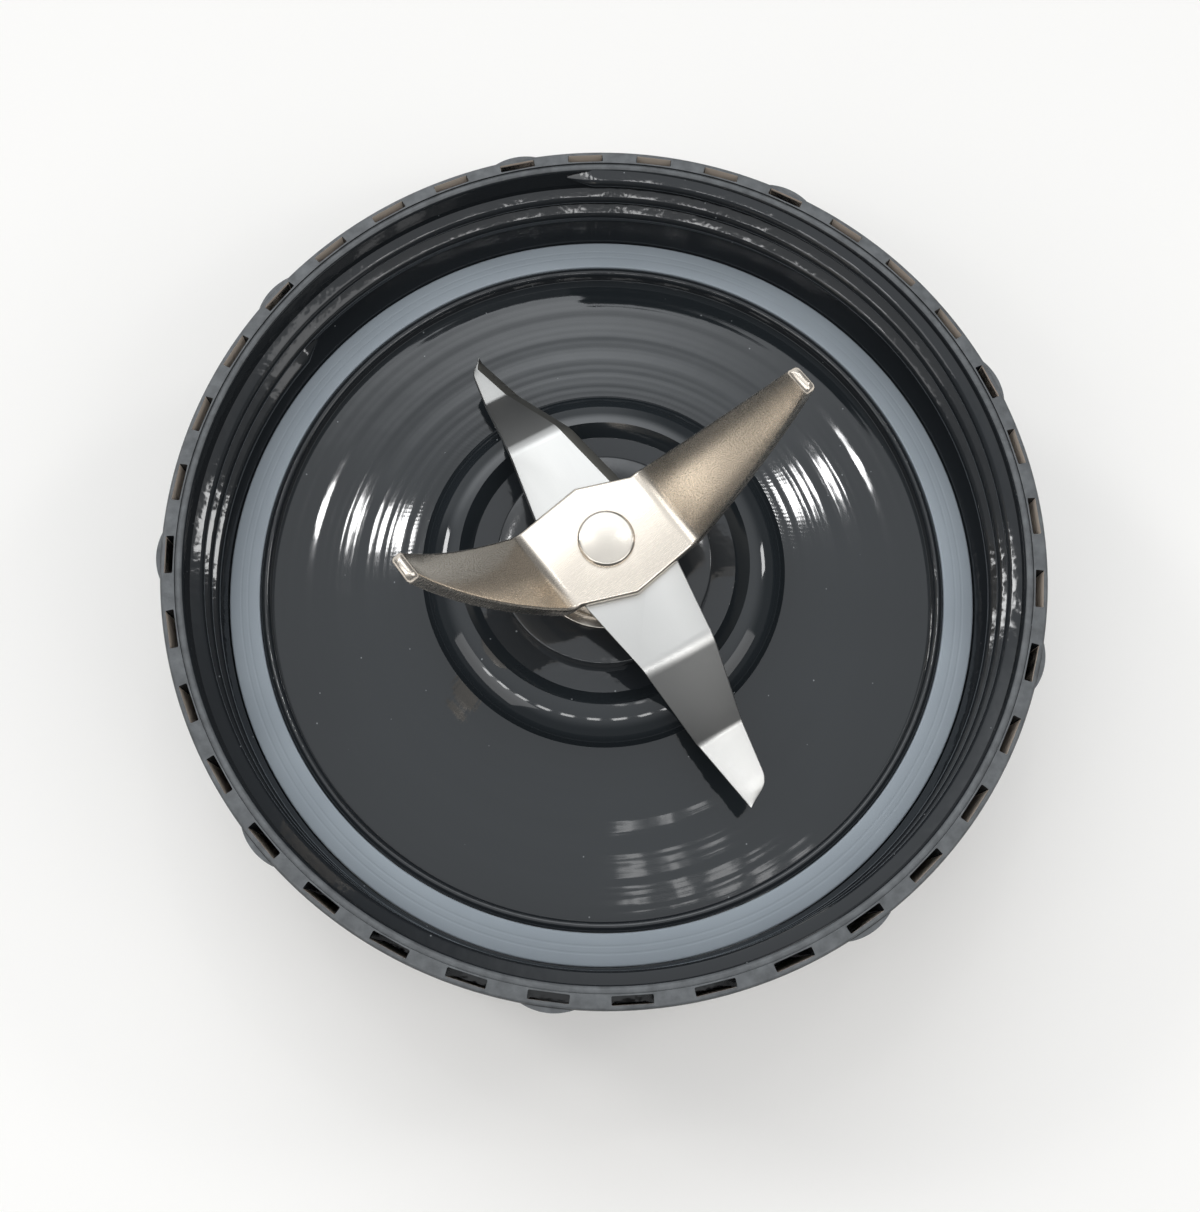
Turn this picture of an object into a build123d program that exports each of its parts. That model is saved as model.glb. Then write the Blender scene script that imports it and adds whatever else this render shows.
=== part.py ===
from build123d import *

import os
from math import atan2, cos, degrees, radians, sin, sqrt, tan

# Blade base of a cup blender, standing on its skirt: Z is the shaft's axis, Z = 0 the skirt's foot.
# All sizes are in millimetres and degrees.

# Collar: skirt and rim
rim_radius = 44.0
rim_height = 36.0
rim_wall = 2.2
lip_round = 0.45
lip_step = 0.25
lip_step_width = 0.75
skirt_wall = 2.4
edge_break = 0.3

# Collar: pockets in the rim and grip ribs round the skirt
pocket_count = 36
pocket_depth = 12.0
pocket_width = 3.8
pocket_gap = 0.8
pocket_wall = 0.5
grip_rib_count = 9
grip_rib_width = 4.8
grip_rib_height = 0.45
grip_rib_foot = 4.0
grip_rib_root = 0.25
first_rib_azimuth = 26.2

# Collar: single-start thread for the jar
thread_pitch = 3.6
thread_rise = 10.35
thread_start_azimuth = 144.0
thread_depth = 1.2
thread_base = 2.4
thread_crest = 0.9
thread_drop = 11.86
thread_root = 0.25

# Collar: gasket groove and the bead beside it
groove_ledge = 1.45
groove_width = 3.4
groove_drop = 16.2
groove_wall_height = 2.4
relief_height = 2.2
bead_width = 1.0
bead_height = 2.2

# Collar: dish, boss and the webs under them
boss_radius = 18.8
boss_slope = 59.5
dish_edge_rise = 0.73
boss_climb = 5.37
boss_rise = 1.5
dish_wall = 2.6
recess_depth = 1.1
recess_clearance = 2.6
recess_bevel = 1.4
boss_floor = 3.6
boss_tube_wall = 3.9
boss_tube_length = 8.5
web_count = 8
web_thickness = 1.8
web_height = 4.6
web_step_radius = 24.0
web_lift = 1.0

# Gasket
gasket_thickness = 2.0
gasket_play = 0.1
gasket_line_spacing = 0.7
gasket_line_width = 0.3
gasket_line_depth = 0.15

# Bearing housing and what it holds
sleeve_radius = 9.0
sleeve_tail = 0.6
flange_overhang = 2.3
flange_thickness = 1.5
housing_seat_wall = 1.4
seal_ledge = 1.6
bush_wall = 1.9
upper_bush_length = 5.0
lower_bush_length = 4.4
seal_depth = 3.2
seal_lip = 1.1
seal_body_wall = 1.25
seal_cap_thickness = 0.8
seal_cap_gap = 0.55
o_ring_section = 1.5
o_ring_squeezed = 1.1
o_ring_corner = 0.45
clamp_nut_height = 3.6
clamp_nut_wall = 3.0
clamp_washer_width = 3.8
clamp_washer_thickness = 0.8

# Shaft and what holds it endways
shoulder_step = 1.0
shoulder_rise = 0.4
spigot_radius = 2.5
spigot_flats = 4.2
head_overhang = 0.4
head_height = 0.7
head_edge = 0.35
thrust_washer_thickness = 0.6
thrust_washer_radius = 5.6
clip_thickness = 0.8
clip_radius = 5.8
clip_mouth = 4.6
clip_groove_depth = 0.7
clip_land = 0.5
tail_radius = 3.0

# Coupling under the collar
coupling_radius = 13.0
coupling_height = 9.6
coupling_wall = 2.6
coupling_web = 3.8
spline_count = 12
spline_height = 1.4
spline_root = 1.3
spline_width = 2.0
coupling_hub_flats = 11.0

# Fits
running_gap = 0.04
fit_gap = 0.03
end_float = 0.12

# Blades: shared values
sheet = 1.2
spacer_height = 3.8
spacer_radius = 6.4

# Upper blade: one hub plate, two arms folded up and slightly cupped
upper_fold_azimuth = 41.4
upper_fold_distance = 7.3
upper_fold_lead = 5.9
upper_fold_trail = 3.8
upper_hub_waist_radius = 6.3
upper_hub_waist_azimuth = 124.0
upper_bend_radius = 2.4
upper_arm_reach = 25.6
upper_arm_cup_radius = 75.0
upper_tip_lead = 5.2
upper_tip_trail = 2.6
upper_tip_round = 0.7
first_arm_angle = 65.0
second_arm_angle = 62.5

# Lower blade: two arms joggled down, one ground from below and one from above
# Offsets across an arm are measured from the axis towards its trailing side.
lower_azimuth = 302.5
lower_first_bend = 13.2
lower_second_bend = 21.2
lower_drop_angle = 38.0
lower_tip_angle = 14.0
lower_bend_radius = 2.2
lower_hub_lead = -6.2
lower_hub_trail = 6.0
lower_tip_lead = 0.55
first_tip_trail = 3.4
second_tip_trail = 2.2
first_tip_reach = 29.1
second_tip_reach = 27.4
lower_tip_slant = 1.5
lower_tip_round = 2.0
bevel_width = 1.2
bevel_depth = 0.9

# Radii of the collar, from the rim inwards
lip_radius = rim_radius - rim_wall
lip_step_radius = lip_radius + lip_step_width
skirt_inner_radius = rim_radius - skirt_wall
pocket_outer_radius = rim_radius - pocket_wall
groove_outer_radius = lip_radius - groove_ledge
groove_inner_radius = groove_outer_radius - groove_width
bead_inner_radius = groove_inner_radius - bead_width

# Radii of the bearing and the shaft, from the sleeve inwards and outwards
bore_radius = sleeve_radius + fit_gap
boss_tube_radius = bore_radius + boss_tube_wall
flange_radius = sleeve_radius + flange_overhang
recess_radius = flange_radius + recess_clearance
boss_edge_radius = recess_radius + recess_bevel
o_ring_radius = sleeve_radius + flange_overhang / 2
seal_seat_radius = sleeve_radius - housing_seat_wall
bush_bore_radius = seal_seat_radius - seal_ledge
bush_outer_radius = bush_bore_radius - fit_gap
bush_inner_radius = bush_outer_radius - bush_wall
journal_radius = bush_inner_radius - running_gap
shoulder_radius = journal_radius + shoulder_step

# Heights of the collar, and the arc of its dish from the boss to the bead
groove_floor = rim_height - groove_drop
relief_bottom = groove_floor + groove_wall_height
relief_top = relief_bottom + relief_height
dish_edge_height = groove_floor + dish_edge_rise
boss_edge_height = dish_edge_height + boss_climb
boss_top = boss_edge_height + boss_rise
recess_floor = boss_top - recess_depth
boss_underside = recess_floor - boss_floor
boss_tube_bottom = recess_floor - boss_tube_length
dish_width = bead_inner_radius - boss_radius
dish_chord = sqrt(dish_width**2 + boss_climb**2)
dish_fall = degrees(atan2(boss_climb, dish_width))
trough_radius = dish_chord / 2 / sin(radians(boss_slope - dish_fall))
trough_ring_radius = boss_radius + trough_radius * sin(radians(boss_slope))
trough_centre = boss_edge_height + trough_radius * cos(radians(boss_slope))
dish_underside = trough_centre - trough_radius - dish_wall

# Heights that stack up on the boss and hang below it
housing_top = recess_floor + flange_thickness
clamp_nut_top = boss_tube_bottom - clamp_washer_thickness
clamp_nut_bottom = clamp_nut_top - clamp_nut_height
sleeve_bottom = clamp_nut_bottom - sleeve_tail
seal_seat = housing_top - seal_depth
upper_bush_top = seal_seat - thrust_washer_thickness
shoulder_bottom = seal_seat + end_float
shoulder_top = housing_top + shoulder_rise
lower_blade_bottom = shoulder_top + spacer_height
upper_blade_bottom = lower_blade_bottom + sheet
upper_blade_top = upper_blade_bottom + sheet
clip_top = sleeve_bottom - end_float - thrust_washer_thickness
clip_bottom = clip_top - clip_thickness
coupling_top = clip_bottom - clip_land
coupling_web_bottom = coupling_top - coupling_web
coupling_bottom = coupling_top - coupling_height


def ring(outer, inner, bottom, top):
    """Flat-ended ring round the axis, between two heights."""
    return extrude(Pos(0, 0, bottom) * (Circle(outer) - Circle(inner)), top - bottom)


def block(start, end, width, bottom, top):
    """Upright block across the X axis, between two radii and two heights."""
    return Pos((start + end) / 2, 0, (bottom + top) / 2) * Box(end - start, width, top - bottom)


def hexagon(flats):
    """Six-sided face of a width across flats."""
    return RegularPolygon(flats / 2, 6, major_radius=False)


def turned(*edges):
    """Solid turned about the axis from a closed half section in radius and height."""
    return revolve(Plane.XZ * make_face(Curve() + list(edges)), Axis.Z)


def around(count, first=0.0):
    """Turns about the axis that spread a count of copies evenly."""
    return [Rot(0, 0, first + 360 * step / count) for step in range(count)]


def trough_height(radius, below=0.0):
    """Height of the dish's round trough at a radius, or of a line below its surface."""
    reach = trough_radius + below
    return trough_centre - sqrt(reach**2 - (radius - trough_ring_radius) ** 2)


def trough_arc(start, end, below=0.0):
    """Arc of the trough between two radii."""
    middle = (start + end) / 2
    points = [(radius, trough_height(radius, below)) for radius in (start, middle, end)]
    return ThreePointArc(*points)


def collar_body():
    """Skirt, rim wall, gasket groove, bead, dish and boss as one turned form."""
    foot = Polyline(
        (skirt_inner_radius, dish_underside),
        (skirt_inner_radius, 0),
        (rim_radius - edge_break, 0),
        (rim_radius, edge_break),
        (rim_radius, rim_height - edge_break),
        (rim_radius - edge_break, rim_height),
        (lip_step_radius, rim_height),
        (lip_step_radius, rim_height - lip_step),
        (lip_radius + lip_round, rim_height - lip_step),
    )
    lip = JernArc(foot @ 1, (-1, 0), lip_round, 90)
    wall = Polyline(
        lip @ 1,
        (lip_radius, relief_top),
        (groove_outer_radius, relief_bottom),
        (groove_outer_radius, groove_floor),
        (groove_inner_radius, groove_floor),
        (groove_inner_radius, groove_floor + bead_height - bead_width / 2),
    )
    bead = JernArc(wall @ 1, (0, 1), bead_width / 2, 180)
    dish_edge = Line(bead @ 1, (bead_inner_radius, dish_edge_height))
    dish = trough_arc(bead_inner_radius, boss_radius)
    shoulder = TangentArc((boss_edge_radius, boss_top), dish @ 1, tangent=(1, 0))
    under_reach = trough_radius + dish_wall
    under_start = trough_ring_radius - sqrt(under_reach**2 - (trough_centre - boss_underside) ** 2)
    seat = Polyline(
        (boss_edge_radius, boss_top),
        (recess_radius, recess_floor),
        (bore_radius, recess_floor),
        (bore_radius, boss_tube_bottom),
        (boss_tube_radius, boss_tube_bottom),
        (boss_tube_radius, boss_underside),
        (under_start, boss_underside),
    )
    underside = trough_arc(under_start, trough_ring_radius, dish_wall)
    floor = Line(underside @ 1, foot @ 0)
    return turned(foot, lip, wall, bead, dish_edge, dish, shoulder, seat, underside, floor)


def collar_web():
    """One upright web between the boss and the skirt, under the dish."""
    bottom = dish_underside - web_height
    inner = boss_tube_radius - boss_tube_wall / 2
    outer = skirt_inner_radius + skirt_wall / 2
    crown = trough_arc(boss_radius, trough_ring_radius, dish_wall / 2)
    outline = Polyline(
        crown @ 1,
        (outer, (crown @ 1).Y),
        (outer, bottom),
        (web_step_radius, bottom),
        (boss_tube_radius, boss_tube_bottom + web_lift),
        (inner, boss_tube_bottom + web_lift),
        (inner, (crown @ 0).Y),
        crown @ 0,
    )
    face = make_face(Curve() + [crown, outline])
    return extrude(Plane.XZ * face, web_thickness / 2, both=True)


def rim_pocket():
    """One upright pocket between the threaded wall and the thin outer wall of the rim."""
    inner = pocket_outer_radius - pocket_gap
    return block(inner, pocket_outer_radius, pocket_width, rim_height - pocket_depth, rim_height)


def grip_rib():
    """One low rounded rib up the outside of the skirt."""
    half = grip_rib_width / 2
    rise = grip_rib_height + half**2 / (2 * rim_radius)
    curve = (half**2 + rise**2) / (2 * rise)
    length = rim_height - edge_break - grip_rib_foot
    round_rib = Pos(rim_radius + grip_rib_height - curve, 0, grip_rib_foot) * extrude(Circle(curve), length)
    core = extrude(Circle(rim_radius - grip_rib_root), rim_height)
    return round_rib - core


def jar_thread():
    """Helical ridge on the collar's inner wall, with blunt ends."""
    path = Helix(thread_pitch, thread_rise, lip_radius)
    section = Polygon(
        (thread_root, -thread_base / 2),
        (thread_root, thread_base / 2),
        (-thread_depth, thread_crest / 2),
        (-thread_depth, -thread_crest / 2),
        align=None,
    )
    start = Plane(path @ 0, x_dir=(1, 0, 0), z_dir=path % 0)
    place = Pos(0, 0, rim_height - thread_drop) * Rot(0, 0, thread_start_azimuth)
    return place * sweep(start * section, path, is_frenet=True)


def collar():
    """The whole moulding."""
    webs = [turn * collar_web() for turn in around(web_count)]
    ribs = [turn * grip_rib() for turn in around(grip_rib_count, first_rib_azimuth)]
    pockets = [turn * rim_pocket() for turn in around(pocket_count, first_rib_azimuth)]
    return collar_body() + webs + ribs + jar_thread() - pockets


def gasket():
    """Flat ring in the groove, with two fine grooves round its top."""
    outer = groove_outer_radius - gasket_play
    inner = groove_inner_radius + gasket_play
    top = groove_floor + gasket_thickness
    body = ring(outer, inner, groove_floor, top)
    for side in (-0.5, 0.5):
        line = (outer + inner) / 2 + side * gasket_line_spacing
        half = gasket_line_width / 2
        body -= ring(line + half, line - half, top - gasket_line_depth, top)
    return body


def bearing_housing():
    """Flanged sleeve that carries the bushings and the seal, with an O-ring groove under its flange."""
    sleeve = ring(sleeve_radius, bush_bore_radius, sleeve_bottom, seal_seat)
    cup = ring(sleeve_radius, seal_seat_radius, seal_seat, recess_floor)
    flange = ring(flange_radius, seal_seat_radius, recess_floor, housing_top)
    half = o_ring_section / 2 + fit_gap
    groove = ring(o_ring_radius + half, o_ring_radius - half, recess_floor, recess_floor + o_ring_squeezed)
    return sleeve + cup + flange - groove


def housing_o_ring():
    """Squeezed ring in the groove under the housing's flange."""
    section = RectangleRounded(o_ring_section, o_ring_squeezed, o_ring_corner)
    return revolve(Plane.XZ * Pos(o_ring_radius, recess_floor + o_ring_squeezed / 2) * section, Axis.Z)


def clamp_nut():
    """Hexagon nut that draws the housing down."""
    face = hexagon(2 * (bore_radius + clamp_nut_wall)) - Circle(bore_radius)
    return extrude(Pos(0, 0, clamp_nut_bottom) * face, clamp_nut_height)


def clamp_washer():
    """Plain washer between the nut and the boss."""
    return ring(bore_radius + clamp_washer_width, bore_radius, clamp_nut_top, boss_tube_bottom)


def shaft_seal():
    """Rubber ring in the housing's mouth, with a lip round the shaft's shoulder."""
    outer = seal_seat_radius - fit_gap
    lip = shoulder_radius + running_gap
    top = housing_top - seal_cap_thickness
    section = Polyline(
        (outer, seal_seat),
        (outer, top),
        (lip, top),
        (lip, top - seal_lip),
        (outer - seal_body_wall, top - seal_lip),
        (outer - seal_body_wall, seal_seat),
        close=True,
    )
    return turned(section)


def seal_cap():
    """Ring pressed into the housing over the seal."""
    inner = shoulder_radius + seal_cap_gap
    return ring(seal_seat_radius - fit_gap, inner, housing_top - seal_cap_thickness, housing_top)


def bushing(bottom, length):
    """Plain sintered bearing sleeve."""
    return ring(bush_outer_radius, bush_inner_radius, bottom, bottom + length)


def spigot_face(clearance=0.0):
    """Round with two flats: the shaft's top, or the hole that fits it."""
    radius = spigot_radius + clearance
    return Circle(radius) & Rectangle(2 * radius, spigot_flats + 2 * clearance)


def drive_shaft():
    """Stepped shaft with a flatted top whose end is peened over the blades."""
    steps = [
        (tail_radius, coupling_web_bottom, coupling_top),
        (journal_radius, coupling_top, clip_bottom),
        (journal_radius - clip_groove_depth, clip_bottom, clip_top),
        (journal_radius, clip_top, shoulder_bottom),
        (shoulder_radius, shoulder_bottom, shoulder_top),
    ]
    solid = Part() + [extrude(Pos(0, 0, low) * Circle(radius), high - low) for radius, low, high in steps]
    solid += extrude(Pos(0, 0, shoulder_top) * spigot_face(), upper_blade_top - shoulder_top)
    head = extrude(Pos(0, 0, upper_blade_top) * Circle(spigot_radius + head_overhang), head_height)
    return solid + fillet(head.edges().group_by(Axis.Z)[-1], head_edge)


def blade_spacer():
    """Hub that lifts the blades off the housing."""
    face = Circle(spacer_radius) - spigot_face(fit_gap)
    return extrude(Pos(0, 0, shoulder_top) * face, spacer_height)


def thrust_washer(bottom):
    """Plain washer that takes the shaft's end load."""
    return ring(thrust_washer_radius, journal_radius + fit_gap, bottom, bottom + thrust_washer_thickness)


def retaining_clip():
    """Open ring snapped into the shaft's groove."""
    inner = journal_radius - clip_groove_depth + fit_gap
    mouth = block(0, clip_radius, clip_mouth, clip_bottom, clip_top)
    return ring(clip_radius, inner, clip_bottom + fit_gap, clip_top - fit_gap) - mouth


def coupling_hub():
    """Hexagon insert that screws on the shaft's tail."""
    face = hexagon(coupling_hub_flats) - Circle(tail_radius + fit_gap)
    return extrude(Pos(0, 0, coupling_web_bottom) * face, coupling_web)


def drive_coupling():
    """Moulded cup with inner splines, driven from below."""
    inner = coupling_radius - coupling_wall
    face = Circle(coupling_radius) - hexagon(coupling_hub_flats + 2 * fit_gap)
    web = extrude(Pos(0, 0, coupling_web_bottom) * face, coupling_web)
    wall = ring(coupling_radius, inner, coupling_bottom, coupling_web_bottom)
    spline = block(
        inner - spline_height, inner + spline_root, spline_width, coupling_bottom, coupling_web_bottom
    )
    return web + wall + [turn * spline for turn in around(spline_count)]


def blade_plane(azimuth, height):
    """Upright plane along a blade's arm: X outwards, Y up, normal to the arm's leading side."""
    angle = radians(azimuth)
    return Plane((0, 0, height), x_dir=(cos(angle), sin(angle), 0), z_dir=(sin(angle), -cos(angle), 0))


def setback(radius, angle):
    """Distance from a bend's corner to the start of its arc."""
    return radius * tan(radians(angle) / 2)


def upper_fold(rise):
    """Angle of the sharp fold at an arm's root, and the distance from the axis where it starts."""
    fold = rise - degrees(upper_arm_reach / upper_arm_cup_radius) / 2
    return fold, upper_fold_distance - setback(upper_bend_radius, fold)


def upper_arm(rise):
    """Folded and cupped arm of the upper blade, on its own outline."""
    upright = blade_plane(upper_fold_azimuth, upper_blade_bottom + sheet / 2)
    fold, start = upper_fold(rise)
    bend = JernArc((start, 0), (1, 0), upper_bend_radius, fold)
    cup = JernArc(bend @ 1, bend % 1, upper_arm_cup_radius, degrees(upper_arm_reach / upper_arm_cup_radius))
    side = trace(Curve() + [bend, cup], sheet)
    across = upright.z_dir
    strip = extrude(upright.offset(-upper_fold_trail) * side, upper_fold_trail + upper_fold_lead, dir=across)
    outward = upright.x_dir * cos(radians(rise)) + Vector(0, 0, sin(radians(rise)))
    fold_point = upright.from_local_coords((upper_fold_distance, 0, 0))
    flat = Plane(fold_point, x_dir=across, z_dir=across.cross(outward))
    outline = Polygon(
        (-upper_fold_trail, -upper_fold_distance),
        (-upper_fold_trail, 0),
        (upper_tip_trail, upper_arm_reach),
        (upper_tip_lead, upper_arm_reach),
        (upper_fold_lead, 0),
        (upper_fold_lead, -upper_fold_distance),
        align=None,
    )
    outline = fillet(outline.vertices().sort_by(Axis.Y)[-2:], upper_tip_round)
    return strip & extrude(flat * outline, upper_fold_distance, both=True)


def upper_blade():
    """Hub plate with both arms folded up."""
    along = blade_plane(upper_fold_azimuth, 0)
    waist = Vector(upper_hub_waist_radius, 0, 0).rotate(Axis.Z, upper_hub_waist_azimuth)
    corners = []
    for side, rise in ((1, first_arm_angle), (-1, second_arm_angle)):
        fold, start = upper_fold(rise)
        for across in (-upper_fold_trail, upper_fold_lead):
            corners.append(along.from_local_coords((start, 0, across)) * side)
        corners.append(waist * -side)
    plate = Polygon(*[(corner.X, corner.Y) for corner in corners], align=None) - spigot_face(fit_gap)
    hub = extrude(Pos(0, 0, upper_blade_bottom) * plate, sheet, dir=(0, 0, 1))
    return hub + upper_arm(first_arm_angle) + Rot(0, 0, 180) * upper_arm(second_arm_angle)


def lower_strip(upright, reach):
    """Sheet of a lower arm from the axis outwards, bent down and back again."""
    back = lower_drop_angle - lower_tip_angle
    first_setback = setback(lower_bend_radius, lower_drop_angle)
    bends = first_setback + setback(lower_bend_radius, back)
    slope_length = (lower_second_bend - lower_first_bend) / cos(radians(lower_drop_angle)) - bends
    root = Line((0, 0), (lower_first_bend - first_setback, 0))
    first = JernArc(root @ 1, root % 1, lower_bend_radius, -lower_drop_angle)
    slope = Line(first @ 1, first @ 1 + (first % 1) * slope_length)
    second = JernArc(slope @ 1, slope % 1, lower_bend_radius, back)
    tip = Line(second @ 1, second @ 1 + (second % 1) * (reach - lower_second_bend + sheet))
    side = trace(Curve() + [root, first, slope, second, tip], sheet)
    return extrude(upright * side, lower_hub_trail - lower_hub_lead, both=True)


def lower_arm(reach, tip_trail, ground_side):
    """Joggled arm of the lower blade, ground along its leading edge from above (1) or below (-1)."""
    upright = blade_plane(lower_azimuth, lower_blade_bottom + sheet / 2)
    plan = Plane((0, 0, 0), x_dir=upright.x_dir, z_dir=(0, 0, 1))
    outline = Polygon(
        (0, lower_hub_trail),
        (0, lower_hub_lead),
        (reach, lower_tip_lead),
        (reach - lower_tip_slant, tip_trail),
        align=None,
    )
    trailing_tip = outline.vertices().sort_by(Axis.X)[-2]
    prism = extrude(plan * fillet(trailing_tip, lower_tip_round), upper_blade_top, dir=(0, 0, 1))
    arm = lower_strip(upright, reach) & prism
    edge_start = plan.from_local_coords((0, lower_hub_lead, 0))
    edge_end = plan.from_local_coords((reach, lower_tip_lead, 0))
    leading = (edge_end - edge_start).cross(Vector(0, 0, 1))
    flank = max(arm.faces(), key=lambda face: face.normal_at().dot(leading))
    least_tilt = cos(radians(lower_drop_angle)) / 2
    broad = [face for face in arm.faces() if face.normal_at().Z * ground_side > least_tilt]
    broad_edges = [edge for face in broad for edge in face.edges()]
    ground = [edge for edge in flank.edges() if any(edge.is_same(other) for other in broad_edges)]
    return chamfer(ground, bevel_depth, bevel_width, reference=flank)


def lower_blade():
    """Hub and two joggled arms in one sheet."""
    first = lower_arm(first_tip_reach, first_tip_trail, -1)
    second = lower_arm(second_tip_reach, second_tip_trail, 1)
    hole = extrude(Pos(0, 0, lower_blade_bottom) * spigot_face(fit_gap), sheet)
    return first + Rot(0, 0, 180) * second - hole


nodes = {
    "collar": collar(),
    "gasket": gasket(),
    "bearing_housing": bearing_housing(),
    "housing_o_ring": housing_o_ring(),
    "clamp_nut": clamp_nut(),
    "clamp_washer": clamp_washer(),
    "upper_bushing": bushing(upper_bush_top - upper_bush_length, upper_bush_length),
    "lower_bushing": bushing(sleeve_bottom, lower_bush_length),
    "shaft_seal": shaft_seal(),
    "seal_cap": seal_cap(),
    "drive_shaft": drive_shaft(),
    "blade_spacer": blade_spacer(),
    "upper_thrust_washer": thrust_washer(shoulder_bottom - thrust_washer_thickness),
    "lower_thrust_washer": thrust_washer(clip_top),
    "retaining_clip": retaining_clip(),
    "coupling_hub": coupling_hub(),
    "drive_coupling": drive_coupling(),
    "lower_blade": lower_blade(),
    "upper_blade": upper_blade(),
}

os.makedirs("parts", exist_ok=True)
for name, solid in nodes.items():
    export_step(solid, f"parts/{name}.step")
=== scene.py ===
"""Blade base of a cup blender: the dressed model on its CAD frame, its studio and its camera.

Sizes in the classes are millimetres and degrees; the meshes are metres, in the frame of the CAD.
"""

import logging
import math
from collections.abc import Callable, Iterable, Mapping, Sequence
from dataclasses import dataclass
from enum import Enum

import bmesh
import bpy
from mathutils import Matrix, Vector


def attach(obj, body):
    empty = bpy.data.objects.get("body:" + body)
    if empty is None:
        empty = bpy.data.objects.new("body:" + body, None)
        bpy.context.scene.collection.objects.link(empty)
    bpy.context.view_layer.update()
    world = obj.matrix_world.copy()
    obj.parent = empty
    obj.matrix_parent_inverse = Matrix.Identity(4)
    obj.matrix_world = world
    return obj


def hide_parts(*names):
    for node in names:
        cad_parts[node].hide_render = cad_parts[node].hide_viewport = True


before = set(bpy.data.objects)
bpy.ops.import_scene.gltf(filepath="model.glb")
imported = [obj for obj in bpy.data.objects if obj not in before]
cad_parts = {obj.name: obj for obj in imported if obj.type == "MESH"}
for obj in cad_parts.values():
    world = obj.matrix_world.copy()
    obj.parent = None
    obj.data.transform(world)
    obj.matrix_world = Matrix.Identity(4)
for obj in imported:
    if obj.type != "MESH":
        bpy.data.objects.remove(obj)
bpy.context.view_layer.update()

LOG = logging.getLogger("blade_base")
MM = 0.001
FULL_TURN = math.tau

Point = tuple[float, float]
Corner = tuple[float, float, float]
Tree = bpy.types.NodeTree
Node = bpy.types.Node
Socket = bpy.types.NodeSocket
Mesh = bpy.types.Mesh
Form = bmesh.types.BMesh

# Numbers of the mix node's sockets for its share, its two colours and its result.
MIX_SHARE, MIX_FIRST, MIX_SECOND, MIX_RESULT = 0, 6, 7, 2
# Span that most values of a noise lie in.
NOISE_SPAN = (0.3, 0.7)
# How far a cutter reaches past the solid that it cuts, in millimetres.
CUT_MARGIN = 1.0
HEXAGON_SIDES = 6


class Body(Enum):
    """Bodies of the part: what stands still and what turns."""

    BASE = "base"
    ROTOR = "rotor"


class Slot(Enum):
    """Material slots of the pieces that are made here."""

    BLACK_ABS = "black_abs"
    SILICONE = "silicone"
    HOUSING_NYLON = "housing_nylon"
    PLATED_STEEL = "plated_steel"
    SHAFT_STEEL = "shaft_steel"
    BRASS_INSERT = "brass_insert"
    COUPLING_NYLON = "coupling_nylon"
    BLADE_STEEL = "blade_steel"


class CollarFace(Enum):
    """Faces of the collar that differ in finish, by the number of their material."""

    PLAIN = 0
    DISH = 1
    # Thin outer walls of the pockets, which take a painted glow.
    POCKET = 2
    # Top of the rim, partly rubbed wear and partly a painted sheen.
    RIM = 3


class Joining(Enum):
    """How one solid acts on another, by Blender's name of the step."""

    CUT = "DIFFERENCE"
    FUSE = "UNION"
    SHARE = "INTERSECT"


class GroundSide(Enum):
    """Side of the sheet that a blade's leading edge is ground on."""

    ABOVE = 1
    BELOW = -1


# Nodes and colours

def linear_colour(code: str) -> tuple[float, float, float, float]:
    """Turns an sRGB hex code into a linear colour.

    Args:
        code: Six hex digits after a hash sign.

    Returns:
        Red, green, blue and an alpha of 1.
    """
    channels = [int(code[start:start + 2], 16) / 255 for start in (1, 3, 5)]
    red, green, blue = [c / 12.92 if c <= 0.04045 else ((c + 0.055) / 1.055) ** 2.4 for c in channels]
    return red, green, blue, 1.0


def add_node(
    tree: Tree, kind: str, feeds: Mapping[str | int, object] | None = None, **settings: object
) -> Node:
    """Adds a node with its settings and feeds its inputs.

    Args:
        tree: Tree that takes the node.
        kind: Blender's name of the node's type.
        feeds: Value or output socket for each input, by the input's name or number.
        **settings: Properties of the node.

    Returns:
        The new node.
    """
    node = tree.nodes.new(kind)
    for key, value in settings.items():
        setattr(node, key, value)
    for key, value in (feeds or {}).items():
        if isinstance(value, Socket):
            tree.links.new(value, node.inputs[key])
        else:
            node.inputs[key].default_value = value
    return node


def millimetres(tree: Tree, stretch: Sequence[float] = (1, 1, 1), turn: float = 0.0) -> Socket:
    """Gives a surface's own place in millimetres.

    Args:
        tree: Material tree.
        stretch: Factor on each axis, after the turn.
        turn: Azimuth of the direction that becomes X, in degrees.

    Returns:
        Output socket of the place.
    """
    place = add_node(tree, "ShaderNodeTexCoord").outputs["Object"]
    turned = add_node(tree, "ShaderNodeMapping", {"Vector": place, "Rotation": (0, 0, -math.radians(turn))})
    scale = [factor / MM for factor in stretch]
    return add_node(tree, "ShaderNodeMapping", {"Vector": turned.outputs[0], "Scale": scale}).outputs[0]


def axis_distance(tree: Tree) -> Socket:
    """Gives a surface's distance from the shaft's axis, in millimetres."""
    flat = millimetres(tree, (1, 1, 0))
    return add_node(tree, "ShaderNodeVectorMath", {0: flat}, operation="LENGTH").outputs["Value"]


# Finishes

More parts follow.
